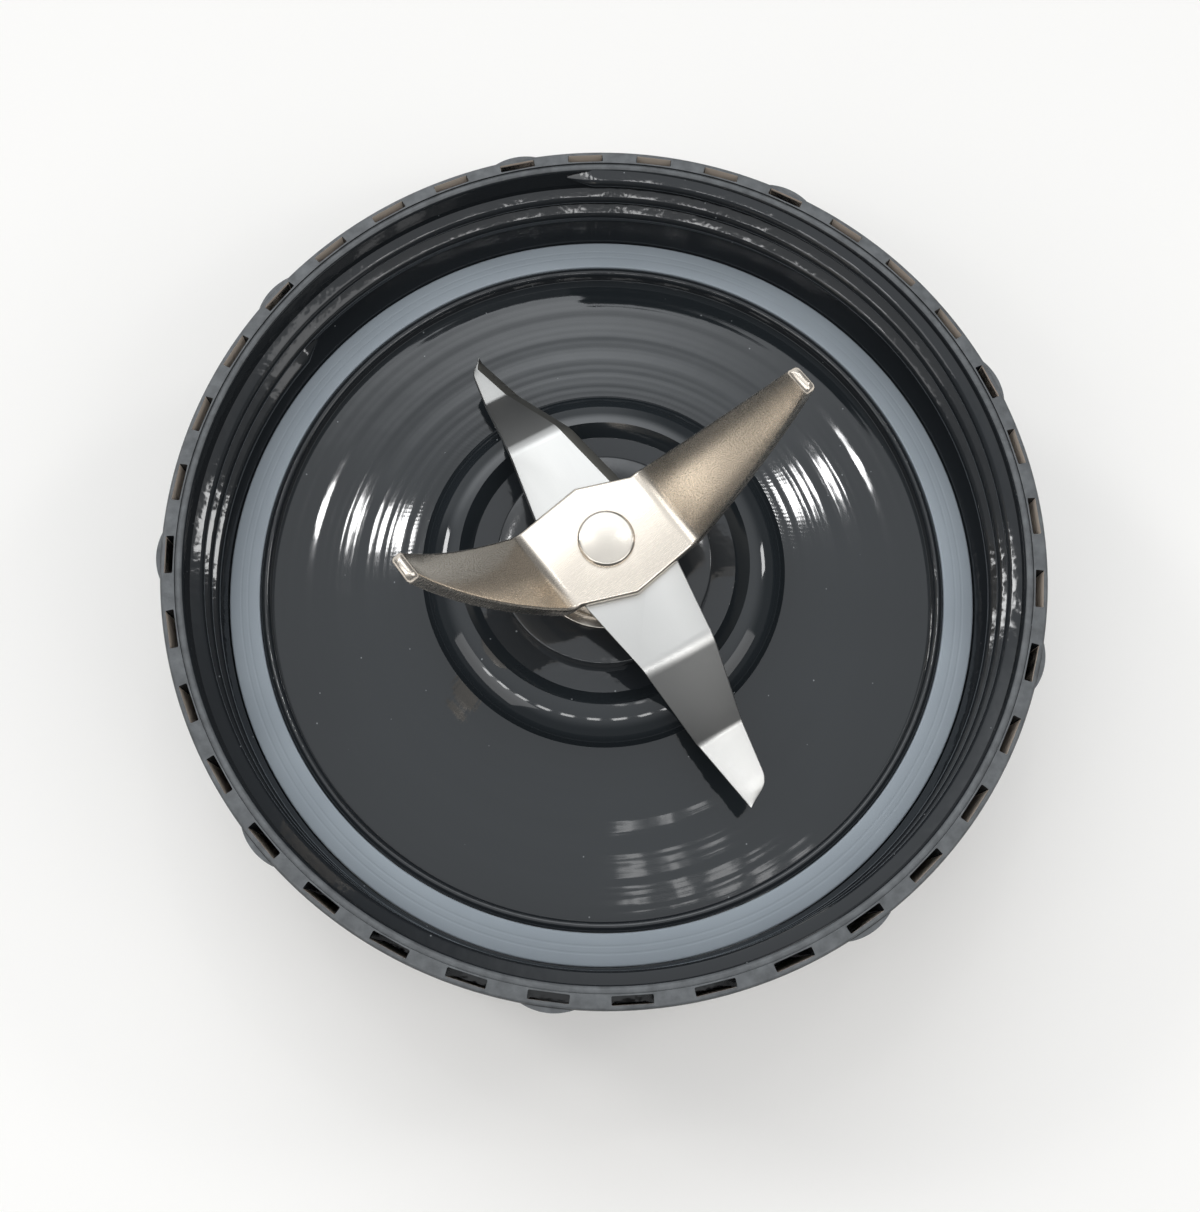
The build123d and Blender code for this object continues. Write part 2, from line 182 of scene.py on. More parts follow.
@dataclass(frozen=True)
class Finish:
    """A material with even values, and the base of the textured ones."""

    name: str
    colour: str
    roughness: float
    metallic: float = 0.0
    ior: float = 1.5
    values: tuple[tuple[str, float], ...] = ()

    def build(self) -> bpy.types.Material:
        """Gives the material, which is made the first time it is asked for.

        Returns:
            The material.
        """
        known = bpy.data.materials.get(self.name)
        if known:
            return known
        material = bpy.data.materials.new(self.name)
        material.use_nodes = True
        tree = material.node_tree
        shader = tree.nodes["Principled BSDF"]
        settings = {
            "Base Color": linear_colour(self.colour),
            "Metallic": self.metallic,
            "Roughness": self.roughness,
            "IOR": self.ior,
            **dict(self.values),
        }
        for key, value in settings.items():
            shader.inputs[key].default_value = value
        material.diffuse_color = linear_colour(self.colour)
        self.texture(tree, shader)
        return material

    def texture(self, tree: Tree, shader: Node) -> None:
        """Adds the finish's own pattern. An even finish has none."""


@dataclass(frozen=True)
class MouldedPlastic(Finish):
    """Moulded plastic: a gloss that wavers a little, with specks of dust."""

    ripple_size: float = 1.6
    ripple_height: float = 0.016
    ripple_detail: float = 2.0
    dust_spacing: float = 2.2
    dust_size: float = 0.11
    dust_core: float = 0.5
    dust_cover: float = 0.7
    dust_colour: str = "#9ea2a4"

    def texture(self, tree: Tree, shader: Node) -> None:
        """Adds the waver of the gloss and the dust.

        Args:
            tree: Tree of the material.
            shader: Its main shader.
        """
        place = millimetres(tree)
        waver = {"Vector": place, "Scale": 1 / self.ripple_size, "Detail": self.ripple_detail}
        ripple = add_node(tree, "ShaderNodeTexNoise", waver)
        relief = {"Height": ripple.outputs[0], "Strength": 1.0, "Distance": self.ripple_height * MM}
        bump = add_node(tree, "ShaderNodeBump", relief)
        tree.links.new(self.marks(tree, bump.outputs[0]), shader.inputs["Normal"])
        cells = add_node(tree, "ShaderNodeTexVoronoi", {"Vector": place, "Scale": 1 / self.dust_spacing})
        edge = self.dust_size / self.dust_spacing
        speck = add_node(
            tree, "ShaderNodeMapRange",
            {
                "Value": cells.outputs["Distance"],
                "From Min": edge,
                "From Max": self.dust_core * edge,
                "To Min": 0.0,
                "To Max": self.dust_cover,
            },
        )
        colour = add_node(
            tree, "ShaderNodeMix",
            {
                MIX_SHARE: speck.outputs[0],
                MIX_FIRST: linear_colour(self.colour),
                MIX_SECOND: linear_colour(self.dust_colour),
            },
            data_type="RGBA",
        )
        tree.links.new(colour.outputs[MIX_RESULT], shader.inputs["Base Color"])

    def marks(self, tree: Tree, normal: Socket) -> Socket:
        """Gives the normal with any tool marks on it. Plain moulding has none."""
        return normal


@dataclass(frozen=True)
class TurnedMould(MouldedPlastic):
    """Moulding from a turned mould: a level mirror whose shallow rings break a lamp up into short arcs."""

    trough_ring: float = 30.35
    trough_radius: float = 13.4
    level_from: float = 19.3
    level_to: float = 35.9
    swell_spacing: float = 5.0
    swell_height: float = 0.05
    wave_spacing: float = 1.9
    wave_height: float = 0.034
    # Real tool marks are finer: these are as coarse as they need to be to show.
    mark_spacing: float = 0.3
    mark_height: float = 0.0008
    ring_detail: float = 1.0

    def marks(self, tree: Tree, normal: Socket) -> Socket:
        """Levels the mirror of the trough, then adds the rings and the fine circular marks between them.

        Args:
            tree: Tree of the material.
            normal: Socket of the normal so far.

        Returns:
            Output socket of the marked normal.
        """
        radius = axis_distance(tree)
        limits = {"Value": radius, "Min": self.level_from, "Max": self.level_to}
        within = add_node(tree, "ShaderNodeClamp", limits).outputs[0]
        offset = add_node(tree, "ShaderNodeMath", {0: within, 1: self.trough_ring}, operation="SUBTRACT")
        share = add_node(
            tree, "ShaderNodeMath", {0: offset.outputs[0], 1: self.trough_radius}, operation="DIVIDE"
        ).outputs[0]
        squared = add_node(tree, "ShaderNodeMath", {0: share, 1: share}, operation="MULTIPLY")
        rest = add_node(tree, "ShaderNodeMath", {0: 1.0, 1: squared.outputs[0]}, operation="SUBTRACT")
        level = add_node(tree, "ShaderNodeMath", {0: rest.outputs[0], 1: math.e}, operation="LOGARITHM")
        heights = [(level.outputs[0], self.trough_radius / 2)]
        for spacing, height in (
            (self.swell_spacing, self.swell_height),
            (self.wave_spacing, self.wave_height),
            (self.mark_spacing, self.mark_height),
        ):
            rings = {"W": radius, "Scale": 1 / spacing, "Detail": self.ring_detail}
            wave = add_node(tree, "ShaderNodeTexNoise", rings, noise_dimensions="1D")
            heights.append((wave.outputs[0], height))
        for source, height in heights:
            relief = {"Height": source, "Strength": 1.0, "Distance": height * MM, "Normal": normal}
            normal = add_node(tree, "ShaderNodeBump", relief).outputs[0]
        return normal


@dataclass(frozen=True)
class MottledMatt(Finish):
    """Matt surface: no clear reflection, a faint mottle and a fine tooth."""

    mottle_size: float = 6.0
    mottle_colour: str = "#a1aab2"
    mottle_detail: float = 4.0
    # A real tooth is finer: this one is as coarse as it needs to be to show.
    tooth_size: float = 0.12
    tooth_height: float = 0.006
    tooth_detail: float = 1.0

    def texture(self, tree: Tree, shader: Node) -> None:
        """Adds the mottle and the tooth.

        Args:
            tree: Tree of the material.
            shader: Its main shader.
        """
        place = millimetres(tree)
        patches = {"Vector": place, "Scale": 1 / self.mottle_size, "Detail": self.mottle_detail}
        mottle = add_node(tree, "ShaderNodeTexNoise", patches)
        colour = add_node(
            tree, "ShaderNodeMix",
            {
                MIX_SHARE: mottle.outputs[0],
                MIX_FIRST: linear_colour(self.colour),
                MIX_SECOND: linear_colour(self.mottle_colour),
            },
            data_type="RGBA",
        )
        tree.links.new(colour.outputs[MIX_RESULT], shader.inputs["Base Color"])
        points = {"Vector": place, "Scale": 1 / self.tooth_size, "Detail": self.tooth_detail}
        tooth = add_node(tree, "ShaderNodeTexNoise", points)
        relief = {"Height": tooth.outputs[0], "Strength": 1.0, "Distance": self.tooth_height * MM}
        bump = add_node(tree, "ShaderNodeBump", relief)
        tree.links.new(bump.outputs[0], shader.inputs["Normal"])


@dataclass(frozen=True)
class GrainedMetal(Finish):
    """Metal with a straight grain: the gloss is drawn out across the grain and varies from line to line."""

    grain_azimuth: float = 0.0
    grain_length: float = 6.0
    # Real lines are finer: these are as wide as they need to be to show.
    grain_width: float = 0.10
    grain_height: float = 0.0012
    grain_detail: float = 3.0
    roughness_spread: float = 0.04

    def texture(self, tree: Tree, shader: Node) -> None:
        """Adds the grain to the gloss and to the surface.

        Args:
            tree: Tree of the material.
            shader: Its main shader.
        """
        stretch = (1 / self.grain_length, 1 / self.grain_width, 1 / self.grain_width)
        place = millimetres(tree, stretch, self.grain_azimuth)
        lines = {"Vector": place, "Scale": 1.0, "Detail": self.grain_detail}
        grain = add_node(tree, "ShaderNodeTexNoise", lines).outputs[0]
        gloss = add_node(
            tree, "ShaderNodeMapRange",
            {
                "Value": grain,
                "From Min": NOISE_SPAN[0],
                "From Max": NOISE_SPAN[1],
                "To Min": self.roughness - self.roughness_spread,
                "To Max": self.roughness + self.roughness_spread,
            },
        )
        tree.links.new(gloss.outputs[0], shader.inputs["Roughness"])
        relief = {"Height": grain, "Strength": 1.0, "Distance": self.grain_height * MM}
        bump = add_node(tree, "ShaderNodeBump", relief)
        tree.links.new(bump.outputs[0], shader.inputs["Normal"])


@dataclass(frozen=True)
class TurnedMetal(Finish):
    """Metal faced on a lathe: fine rings round the shaft's axis."""

    ring_spacing: float = 0.16
    ring_height: float = 0.004
    ring_detail: float = 2.0

    def texture(self, tree: Tree, shader: Node) -> None:
        """Adds the rings.

        Args:
            tree: Tree of the material.
            shader: Its main shader.
        """
        lines = {"W": axis_distance(tree), "Scale": 1 / self.ring_spacing, "Detail": self.ring_detail}
        rings = add_node(tree, "ShaderNodeTexNoise", lines, noise_dimensions="1D")
        relief = {"Height": rings.outputs[0], "Strength": 1.0, "Distance": self.ring_height * MM}
        bump = add_node(tree, "ShaderNodeBump", relief)
        tree.links.new(bump.outputs[0], shader.inputs["Normal"])


@dataclass(frozen=True)
class GrainyMetal(Finish):
    """Pressed powder metal: a dull surface of small grains and pores."""

    grain_size: float = 0.18
    pore_colour: str = "#4a3621"
    pore_height: float = 0.02

    def texture(self, tree: Tree, shader: Node) -> None:
        """Adds grains and pores.

        Args:
            tree: Tree of the material.
            shader: Its main shader.
        """
        grains = {"Vector": millimetres(tree), "Scale": 1 / self.grain_size}
        distance = add_node(tree, "ShaderNodeTexVoronoi", grains).outputs["Distance"]
        colour = add_node(
            tree, "ShaderNodeMix",
            {
                MIX_SHARE: distance,
                MIX_FIRST: linear_colour(self.colour),
                MIX_SECOND: linear_colour(self.pore_colour),
            },
            data_type="RGBA",
        )
        tree.links.new(colour.outputs[MIX_RESULT], shader.inputs["Base Color"])
        relief = {"Height": distance, "Strength": 1.0, "Distance": self.pore_height * MM}
        bump = add_node(tree, "ShaderNodeBump", relief)
        tree.links.new(bump.outputs[0], shader.inputs["Normal"])


# Glossy black moulding: near black, with soft grey reflections of the room and a few specks of dust.
GLOSSY_ABS = MouldedPlastic("abs_black_glossy", "#25282b", 0.07, ior=1.54, ripple_height=0.03)
# Dish of the same moulding: shallow rings break the lamps up into rows of short bright arcs.
DISH_ABS = TurnedMould("abs_black_turned_dish", "#23272a", 0.05, ior=1.54, ripple_size=5.0)
# Top of the rim, rubbed dull by handling; its pale grey mottle is partly rubbed wear and partly a painted
# sheen that stands in for the grey reflection on the rim's top.
RUBBED_AND_SHEEN_ABS = MottledMatt(
    "abs_black_rubbed", "#2c2e30", 0.4, ior=1.54,
    mottle_size=1.1, mottle_colour="#6c6f71", tooth_size=0.3, tooth_height=0.03,
)
# Thin outer wall of the rim: its pale tan is a painted glow, painted in for the light that comes through the
# thin dark moulding.
PAINTED_GLOW_ABS = Finish("abs_thin_smoky_wall", "#eddccb", 0.45, ior=1.54)
# Gasket rubber: matt blue-grey.
GASKET_SILICONE = MottledMatt("silicone_blue_grey", "#aab3ba", 0.55, ior=1.43)
# Bearing housing: smooth black filled nylon, a little duller than the collar.
HOUSING_NYLON = MouldedPlastic("nylon_black_satin", "#2b2d2f", 0.1, ior=1.53, dust_spacing=4.0)
# Coupling: tough black nylon with a dull moulded skin.
COUPLING_NYLON = MouldedPlastic(
    "nylon_black_dull", "#2b2c2d", 0.45, ior=1.53, ripple_size=0.5, dust_spacing=5.0
)
# Seal rubber: dull black.
NITRILE = MottledMatt("nitrile_black_dull", "#141414", 0.6, ior=1.52, mottle_colour="#1a1a1a")
# Upper blade: rolled stainless sheet, satin; its warm cast is painted, standing in for warm light that the
# satin steel reflects.
UPPER_SHEET = GrainedMetal("stainless_upper_satin", "#dfd5c8", 0.26, 1.0, grain_azimuth=41.4)
# Lower blade: the same sheet along its own arms, cooler.
LOWER_SHEET = GrainedMetal("stainless_lower_satin", "#c2c1be", 0.34, 1.0, grain_azimuth=302.5)
# Ground edge: grey and rough, with the wheel's lines across the edge.
GROUND_EDGE = GrainedMetal(
    "stainless_ground_edge", "#a9a69e", 0.42, 1.0,
    grain_azimuth=32.5, grain_length=1.6, grain_width=0.08, grain_height=0.006,
)
# Shaft and its peened head: turned stainless, bright, with fine rings.
TURNED_STEEL = TurnedMetal("stainless_turned", "#cfc8be", 0.24, 1.0)
# Nut, washers and clip: zinc plate, bright but soft.
ZINC_PLATE = GrainedMetal("steel_zinc_plated", "#c3c6c9", 0.33, 1.0, grain_length=2.0, grain_width=0.3)
# Insert of the coupling: machined brass.
BRASS = TurnedMetal("brass_machined", "#c9a45c", 0.28, 1.0)
# Bushings: pressed bronze powder, brown and dull.
BRONZE = GrainyMetal("bronze_sintered", "#8a6a43", 0.5, 1.0)


# Shapes

def arc_points(centre: Point, radius: float, start: float, end: float, steps: int) -> list[Point]:
    """Gives points along an arc, both ends among them.

    Args:
        centre: Centre of the arc.
        radius: Radius of the arc.
        start: Angle of the first point in degrees.
        end: Angle of the last point in degrees.
        steps: Number of chords.

    Returns:
        The points in order.
    """
    angles = [math.radians(start + (end - start) * step / steps) for step in range(steps + 1)]
    return [(centre[0] + radius * math.cos(angle), centre[1] + radius * math.sin(angle)) for angle in angles]


def hexagon(half_flats: float) -> list[Point]:
    """Gives the corners of a hexagon about the shaft's axis from half its width across flats.

    Args:
        half_flats: Half the width across flats.

    Returns:
        The six corners in order.
    """
    corner = half_flats / math.cos(math.pi / HEXAGON_SIDES)
    step = 360 / HEXAGON_SIDES
    return arc_points((0, 0), corner, 0, 360 - step, HEXAGON_SIDES - 1)


def rounded(corners: Sequence[Corner], closed: bool = True, steps: int = 4) -> list[Point]:
    """Rounds the corners of an outline.

    Args:
        corners: Place of each corner and the radius of its round; a radius of 0 leaves it sharp.
        closed: Whether the last corner joins the first.
        steps: Chords in each round.

    Returns:
        Points of the rounded outline.
    """
    points: list[Point] = []
    count = len(corners)
    for index, (x, y, radius) in enumerate(corners):
        at_end = not closed and index in (0, count - 1)
        if radius == 0 or at_end:
            points.append((x, y))
            continue
        here = Vector((x, y))
        back = (Vector(corners[index - 1][:2]) - here).normalized()
        ahead = (Vector(corners[(index + 1) % count][:2]) - here).normalized()
        half = back.angle(ahead) / 2
        reach = radius / math.tan(half)
        middle = here + (back + ahead).normalized() * (radius / math.sin(half))
        first = here + back * reach - middle
        sweep = (here + ahead * reach - middle).angle_signed(first)
        for step in range(steps + 1):
            turn = Matrix.Rotation(sweep * step / steps, 2)
            points.append(tuple(middle + turn @ first))
    return points


def solid(bm: Form, name: str, crease: float = 32.0) -> Mesh:
    """Turns a built form into a mesh with outward faces, smooth up to an angle.

    Args:
        bm: The form, in metres. It is freed.
        name: Name of the mesh.
        crease: Angle in degrees above which an edge stays sharp.

    Returns:
        The mesh.
    """
    weld = 0.0002 * MM
    bmesh.ops.remove_doubles(bm, verts=bm.verts, dist=weld)
    bmesh.ops.dissolve_degenerate(bm, edges=bm.edges, dist=weld)
    bmesh.ops.recalc_face_normals(bm, faces=bm.faces)
    for face in bm.faces:
        face.smooth = True
    for edge in bm.edges:
        edge.smooth = edge.calc_face_angle(0.0) <= math.radians(crease)
    mesh = bpy.data.meshes.new(name)
    bm.to_mesh(mesh)
    bm.free()
    return mesh


def turned_form(section: Sequence[Point], segments: int) -> Form:
    """Turns a closed half section about the shaft's axis.

    Args:
        section: Radius and height of each point, in millimetres.
        segments: Steps round the axis.

    Returns:
        The form, in metres.
    """
    bm = bmesh.new()
    rings = []
    for step in range(segments):
        angle = FULL_TURN * step / segments
        across, along = math.cos(angle) * MM, math.sin(angle) * MM
        rings.append([bm.verts.new((radius * across, radius * along, z * MM)) for radius, z in section])
    for ring, following in zip(rings, rings[1:] + rings[:1]):
        for index in range(len(section)):
            bm.faces.new((ring[index - 1], following[index - 1], following[index], ring[index]))
    return bm


def lofted_form(loops: Sequence[Sequence[Vector]]) -> Form:
    """Joins closed loops of equal length into a capped solid.

    Args:
        loops: Points of each loop in millimetres.

    Returns:
        The form, in metres.
    """
    bm = bmesh.new()
    rings = [[bm.verts.new(point * MM) for point in loop] for loop in loops]
    for ring, following in zip(rings, rings[1:]):
        for index in range(len(ring)):
            bm.faces.new((ring[index - 1], ring[index], following[index], following[index - 1]))
    bm.faces.new(reversed(rings[0]))
    bm.faces.new(rings[-1])
    return bm


def prism_form(
    outline: Sequence[Point], low: float, high: float, place: Callable[[float, float, float], Vector]
) -> Form:
    """Extrudes an outline.

    Args:
        outline: Points of the closed outline.
        low: Start of the extrusion.
        high: End of the extrusion.
        place: Turns outline coordinates and a depth into a place in millimetres.

    Returns:
        The form, in metres.
    """
    return lofted_form([[place(x, y, depth) for x, y in outline] for depth in (low, high)])


def upright(x: float, y: float, height: float) -> Vector:
    """Places an outline that lies flat and is extruded upwards."""
    return Vector((x, y, height))


def radial(radius: float, height: float, across: float) -> Vector:
    """Places an outline that stands on the X axis and is extruded sideways."""
    return Vector((radius, across, height))


def baked(mesh: Mesh, dress: Callable[[bpy.types.Object], None]) -> Mesh:
    """Runs modifiers on a mesh and gives the plain result.

    Args:
        mesh: Start of the modifiers.
        dress: Adds the modifiers to a passing object that holds the mesh.

    Returns:
        The result as a mesh of its own.
    """
    holder = bpy.data.objects.new(mesh.name, mesh)
    bpy.context.scene.collection.objects.link(holder)
    dress(holder)
    graph = bpy.context.evaluated_depsgraph_get()
    result = bpy.data.meshes.new_from_object(holder.evaluated_get(graph), depsgraph=graph)
    holder.modifiers.clear()
    bpy.data.objects.remove(holder)
    return result


def cut_or_fused(mesh: Mesh, tool: Mesh, joining: Joining) -> Mesh:
    """Cuts a solid by another one, fuses both, or keeps what they share.

    Args:
        mesh: The solid that stays.
        tool: The solid that acts on it.
        joining: How it acts.

    Returns:
        The result.
    """
    helper = bpy.data.objects.new("cutting_tool", tool)
    bpy.context.scene.collection.objects.link(helper)

    def dress(holder: bpy.types.Object) -> None:
        """Adds the boolean step.

        Args:
            holder: Passing object that holds the mesh.
        """
        step = holder.modifiers.new("shape", "BOOLEAN")
        step.operation = joining.value
        step.solver = "EXACT"
        step.object = helper

    result = baked(mesh, dress)
    bpy.data.objects.remove(helper)
    return result


def gathered(meshes: Iterable[Mesh]) -> Form:
    """Gathers several meshes into one form.

    Args:
        meshes: The meshes.

    Returns:
        The form.
    """
    bm = bmesh.new()
    for mesh in meshes:
        bm.from_mesh(mesh)
    return bm


def dressed_piece(
    name: str, mesh: Mesh, body: Body, nodes: Sequence[str], finishes: Sequence[Finish]
) -> bpy.types.Object:
    """Makes a finished mesh a piece of the object.

    Args:
        name: Name of the piece.
        mesh: Its mesh, in the frame.
        body: Body that it moves with.
        nodes: CAD nodes that it stands for.
        finishes: Materials in the order of the mesh's material numbers.

    Returns:
        The piece.
    """
    mesh.name = name
    numbers = [polygon.material_index for polygon in mesh.polygons]
    mesh.materials.clear()
    for finish in finishes:
        mesh.materials.append(finish.build())
    mesh.polygons.foreach_set("material_index", numbers)
    piece = bpy.data.objects.new(name, mesh)
    bpy.context.scene.collection.objects.link(piece)
    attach(piece, body.value)
    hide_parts(*nodes)
    LOG.info("%s: %d faces on %s", name, len(mesh.polygons), body.value)
    return piece


def turned_piece(
    name: str, corners: Sequence[Corner], segments: int, body: Body, node: str, finish: Finish
) -> None:
    """Turns a half section with rounded corners into a finished piece.

    Args:
        name: Name of the piece.
        corners: Radius, height and round of each corner of the section.
        segments: Steps round the axis.
        body: Body that it moves with.
        node: CAD node that it stands for.
        finish: Its material.
    """
    mesh = solid(turned_form(rounded(corners), segments), name)
    dressed_piece(name, mesh, body, [node], [finish])


# Geometry node trees

def new_tree(name: str, sizes: Sequence[tuple[str, str]]) -> tuple[Tree, Node]:
    """Starts a geometry tree with named inputs.

    Args:
        name: Name of the tree.
        sizes: Name and socket type of each input after the geometry.

    Returns:
        The tree and its input node.
    """
    tree = bpy.data.node_groups.new(name, "GeometryNodeTree")
    tree.interface.new_socket("Geometry", in_out="INPUT", socket_type="NodeSocketGeometry")
    for label, kind in sizes:
        tree.interface.new_socket(label, in_out="INPUT", socket_type=kind)
    tree.interface.new_socket("Geometry", in_out="OUTPUT", socket_type="NodeSocketGeometry")
    return tree, tree.nodes.new("NodeGroupInput")


def close_tree(tree: Tree, geometry: Socket, material: Socket) -> None:
    """Ends a geometry tree with real geometry and its material.

    Args:
        tree: The tree.
        geometry: What it has made so far.
        material: Socket of the material.
    """
    whole = add_node(tree, "GeometryNodeRealizeInstances", {"Geometry": geometry})
    dressed = add_node(tree, "GeometryNodeSetMaterial", {"Geometry": whole.outputs[0], "Material": material})
    add_node(tree, "NodeGroupOutput", {"Geometry": dressed.outputs[0]})


def ring_pattern() -> Tree:
    """Gives the tree that repeats its geometry round the shaft's axis.

    Returns:
        The tree, which is made the first time it is asked for.
    """
    name = "ring_pattern"
    if name in bpy.data.node_groups:
        return bpy.data.node_groups[name]
    sizes = (
        ("Count", "NodeSocketInt"),
        ("First Azimuth", "NodeSocketFloat"),
        ("Material", "NodeSocketMaterial"),
    )
    tree, start = new_tree(name, sizes)
    points = add_node(tree, "GeometryNodePoints", {"Count": start.outputs["Count"]})
    index = add_node(tree, "GeometryNodeInputIndex")
    pitch = add_node(tree, "ShaderNodeMath", {0: FULL_TURN, 1: start.outputs["Count"]}, operation="DIVIDE")
    azimuth = add_node(
        tree, "ShaderNodeMath",
        {0: index.outputs[0], 1: pitch.outputs[0], 2: start.outputs["First Azimuth"]},
        operation="MULTIPLY_ADD",
    )
    turn = add_node(tree, "ShaderNodeCombineXYZ", {"Z": azimuth.outputs[0]})
    rotation = add_node(tree, "FunctionNodeEulerToRotation", {"Euler": turn.outputs[0]})
    copies = add_node(
        tree, "GeometryNodeInstanceOnPoints",
        {"Points": points.outputs[0], "Instance": start.outputs["Geometry"], "Rotation": rotation.outputs[0]},
    )
    close_tree(tree, copies.outputs[0], start.outputs["Material"])
    return tree


def helical_ridge() -> Tree:
    """Gives the tree that sweeps a section along a helix about the shaft's axis and fades both ends.

    Returns:
        The tree.
    """
    sizes = (
        ("Radius", "NodeSocketFloat"),
        ("Bottom", "NodeSocketFloat"),
        ("Start Azimuth", "NodeSocketFloat"),
        ("Rise", "NodeSocketFloat"),
        ("Pitch", "NodeSocketFloat"),
        ("Steps", "NodeSocketInt"),
        ("Run-out", "NodeSocketFloat"),
        ("End Size", "NodeSocketFloat"),
        ("Material", "NodeSocketMaterial"),
    )
    tree, start = new_tree("helical_ridge", sizes)
    line = add_node(tree, "GeometryNodeCurvePrimitiveLine")
    stops = {"Curve": line.outputs[0], "Count": start.outputs["Steps"]}
    path = add_node(tree, "GeometryNodeResampleCurve", stops)
    share = add_node(tree, "GeometryNodeSplineParameter").outputs["Factor"]
    turns = add_node(
        tree, "ShaderNodeMath", {0: start.outputs["Rise"], 1: start.outputs["Pitch"]}, operation="DIVIDE"
    ).outputs[0]
    wound = add_node(tree, "ShaderNodeMath", {0: share, 1: turns}, operation="MULTIPLY").outputs[0]
    angle = add_node(
        tree, "ShaderNodeMath",
        {0: wound, 1: FULL_TURN, 2: start.outputs["Start Azimuth"]},
        operation="MULTIPLY_ADD",
    ).outputs[0]
    sides = []
    for operation in ("COSINE", "SINE"):
        unit = add_node(tree, "ShaderNodeMath", {0: angle}, operation=operation)
        reach = {0: unit.outputs[0], 1: start.outputs["Radius"]}
        sides.append(add_node(tree, "ShaderNodeMath", reach, operation="MULTIPLY").outputs[0])
    height = add_node(
        tree, "ShaderNodeMath",
        {0: share, 1: start.outputs["Rise"], 2: start.outputs["Bottom"]},
        operation="MULTIPLY_ADD",
    )
    place = add_node(tree, "ShaderNodeCombineXYZ", {"X": sides[0], "Y": sides[1], "Z": height.outputs[0]})
    moved = {"Geometry": path.outputs[0], "Position": place.outputs[0]}
    helix = add_node(tree, "GeometryNodeSetPosition", moved)
    level = add_node(tree, "GeometryNodeSetCurveNormal", {"Curve": helix.outputs[0]}, mode="Z_UP")
    left = add_node(tree, "ShaderNodeMath", {0: turns, 1: wound}, operation="SUBTRACT")
    nearest = add_node(tree, "ShaderNodeMath", {0: wound, 1: left.outputs[0]}, operation="MINIMUM")
    fade = add_node(
        tree, "ShaderNodeMapRange",
        {
            "Value": nearest.outputs[0],
            "From Min": 0.0,
            "From Max": start.outputs["Run-out"],
            "To Min": start.outputs["End Size"],
            "To Max": 1.0,
        },
        interpolation_type="SMOOTHSTEP",
    )
    section = add_node(tree, "GeometryNodeMeshToCurve", {"Mesh": start.outputs["Geometry"]})
    ridge = add_node(
        tree, "GeometryNodeCurveToMesh",
        {
            "Curve": level.outputs[0],
            "Profile Curve": section.outputs[0],
            "Scale": fade.outputs[0],
            "Fill Caps": True,
        },
    )
    close_tree(tree, ridge.outputs[0], start.outputs["Material"])
    return tree


def run_tree(mesh: Mesh, tree: Tree, inputs: Mapping[str, object]) -> Mesh:
    """Runs a geometry tree on a mesh.

    Args:
        mesh: Geometry that goes in.
        tree: The tree.
        inputs: Value of each named input.

    Returns:
        The plain mesh that comes out.
    """

    def dress(holder: bpy.types.Object) -> None:
        """Adds the tree with its inputs.

        Args:
            holder: Passing object that holds the mesh.
        """
        step = holder.modifiers.new(tree.name, "NODES")
        step.node_group = tree
        for item in tree.interface.items_tree:
            if item.item_type == "SOCKET" and item.in_out == "INPUT" and item.name in inputs:
                step[item.identifier] = inputs[item.name]

    return baked(mesh, dress)


def repeated(form: Form, name: str, count: int, first: float, finish: Finish) -> Mesh:
    """Repeats a form round the shaft's axis.

    Args:
        form: One copy, standing on the X axis.
        name: Name of the mesh.
        count: Number of copies.
        first: Azimuth of the first copy in degrees.
        finish: Material of the copies.

    Returns:
        All copies in one mesh.
    """
    inputs = {"Count": count, "First Azimuth": math.radians(first), "Material": finish.build()}
    return run_tree(solid(form, name), ring_pattern(), inputs)


# Sub-assemblies

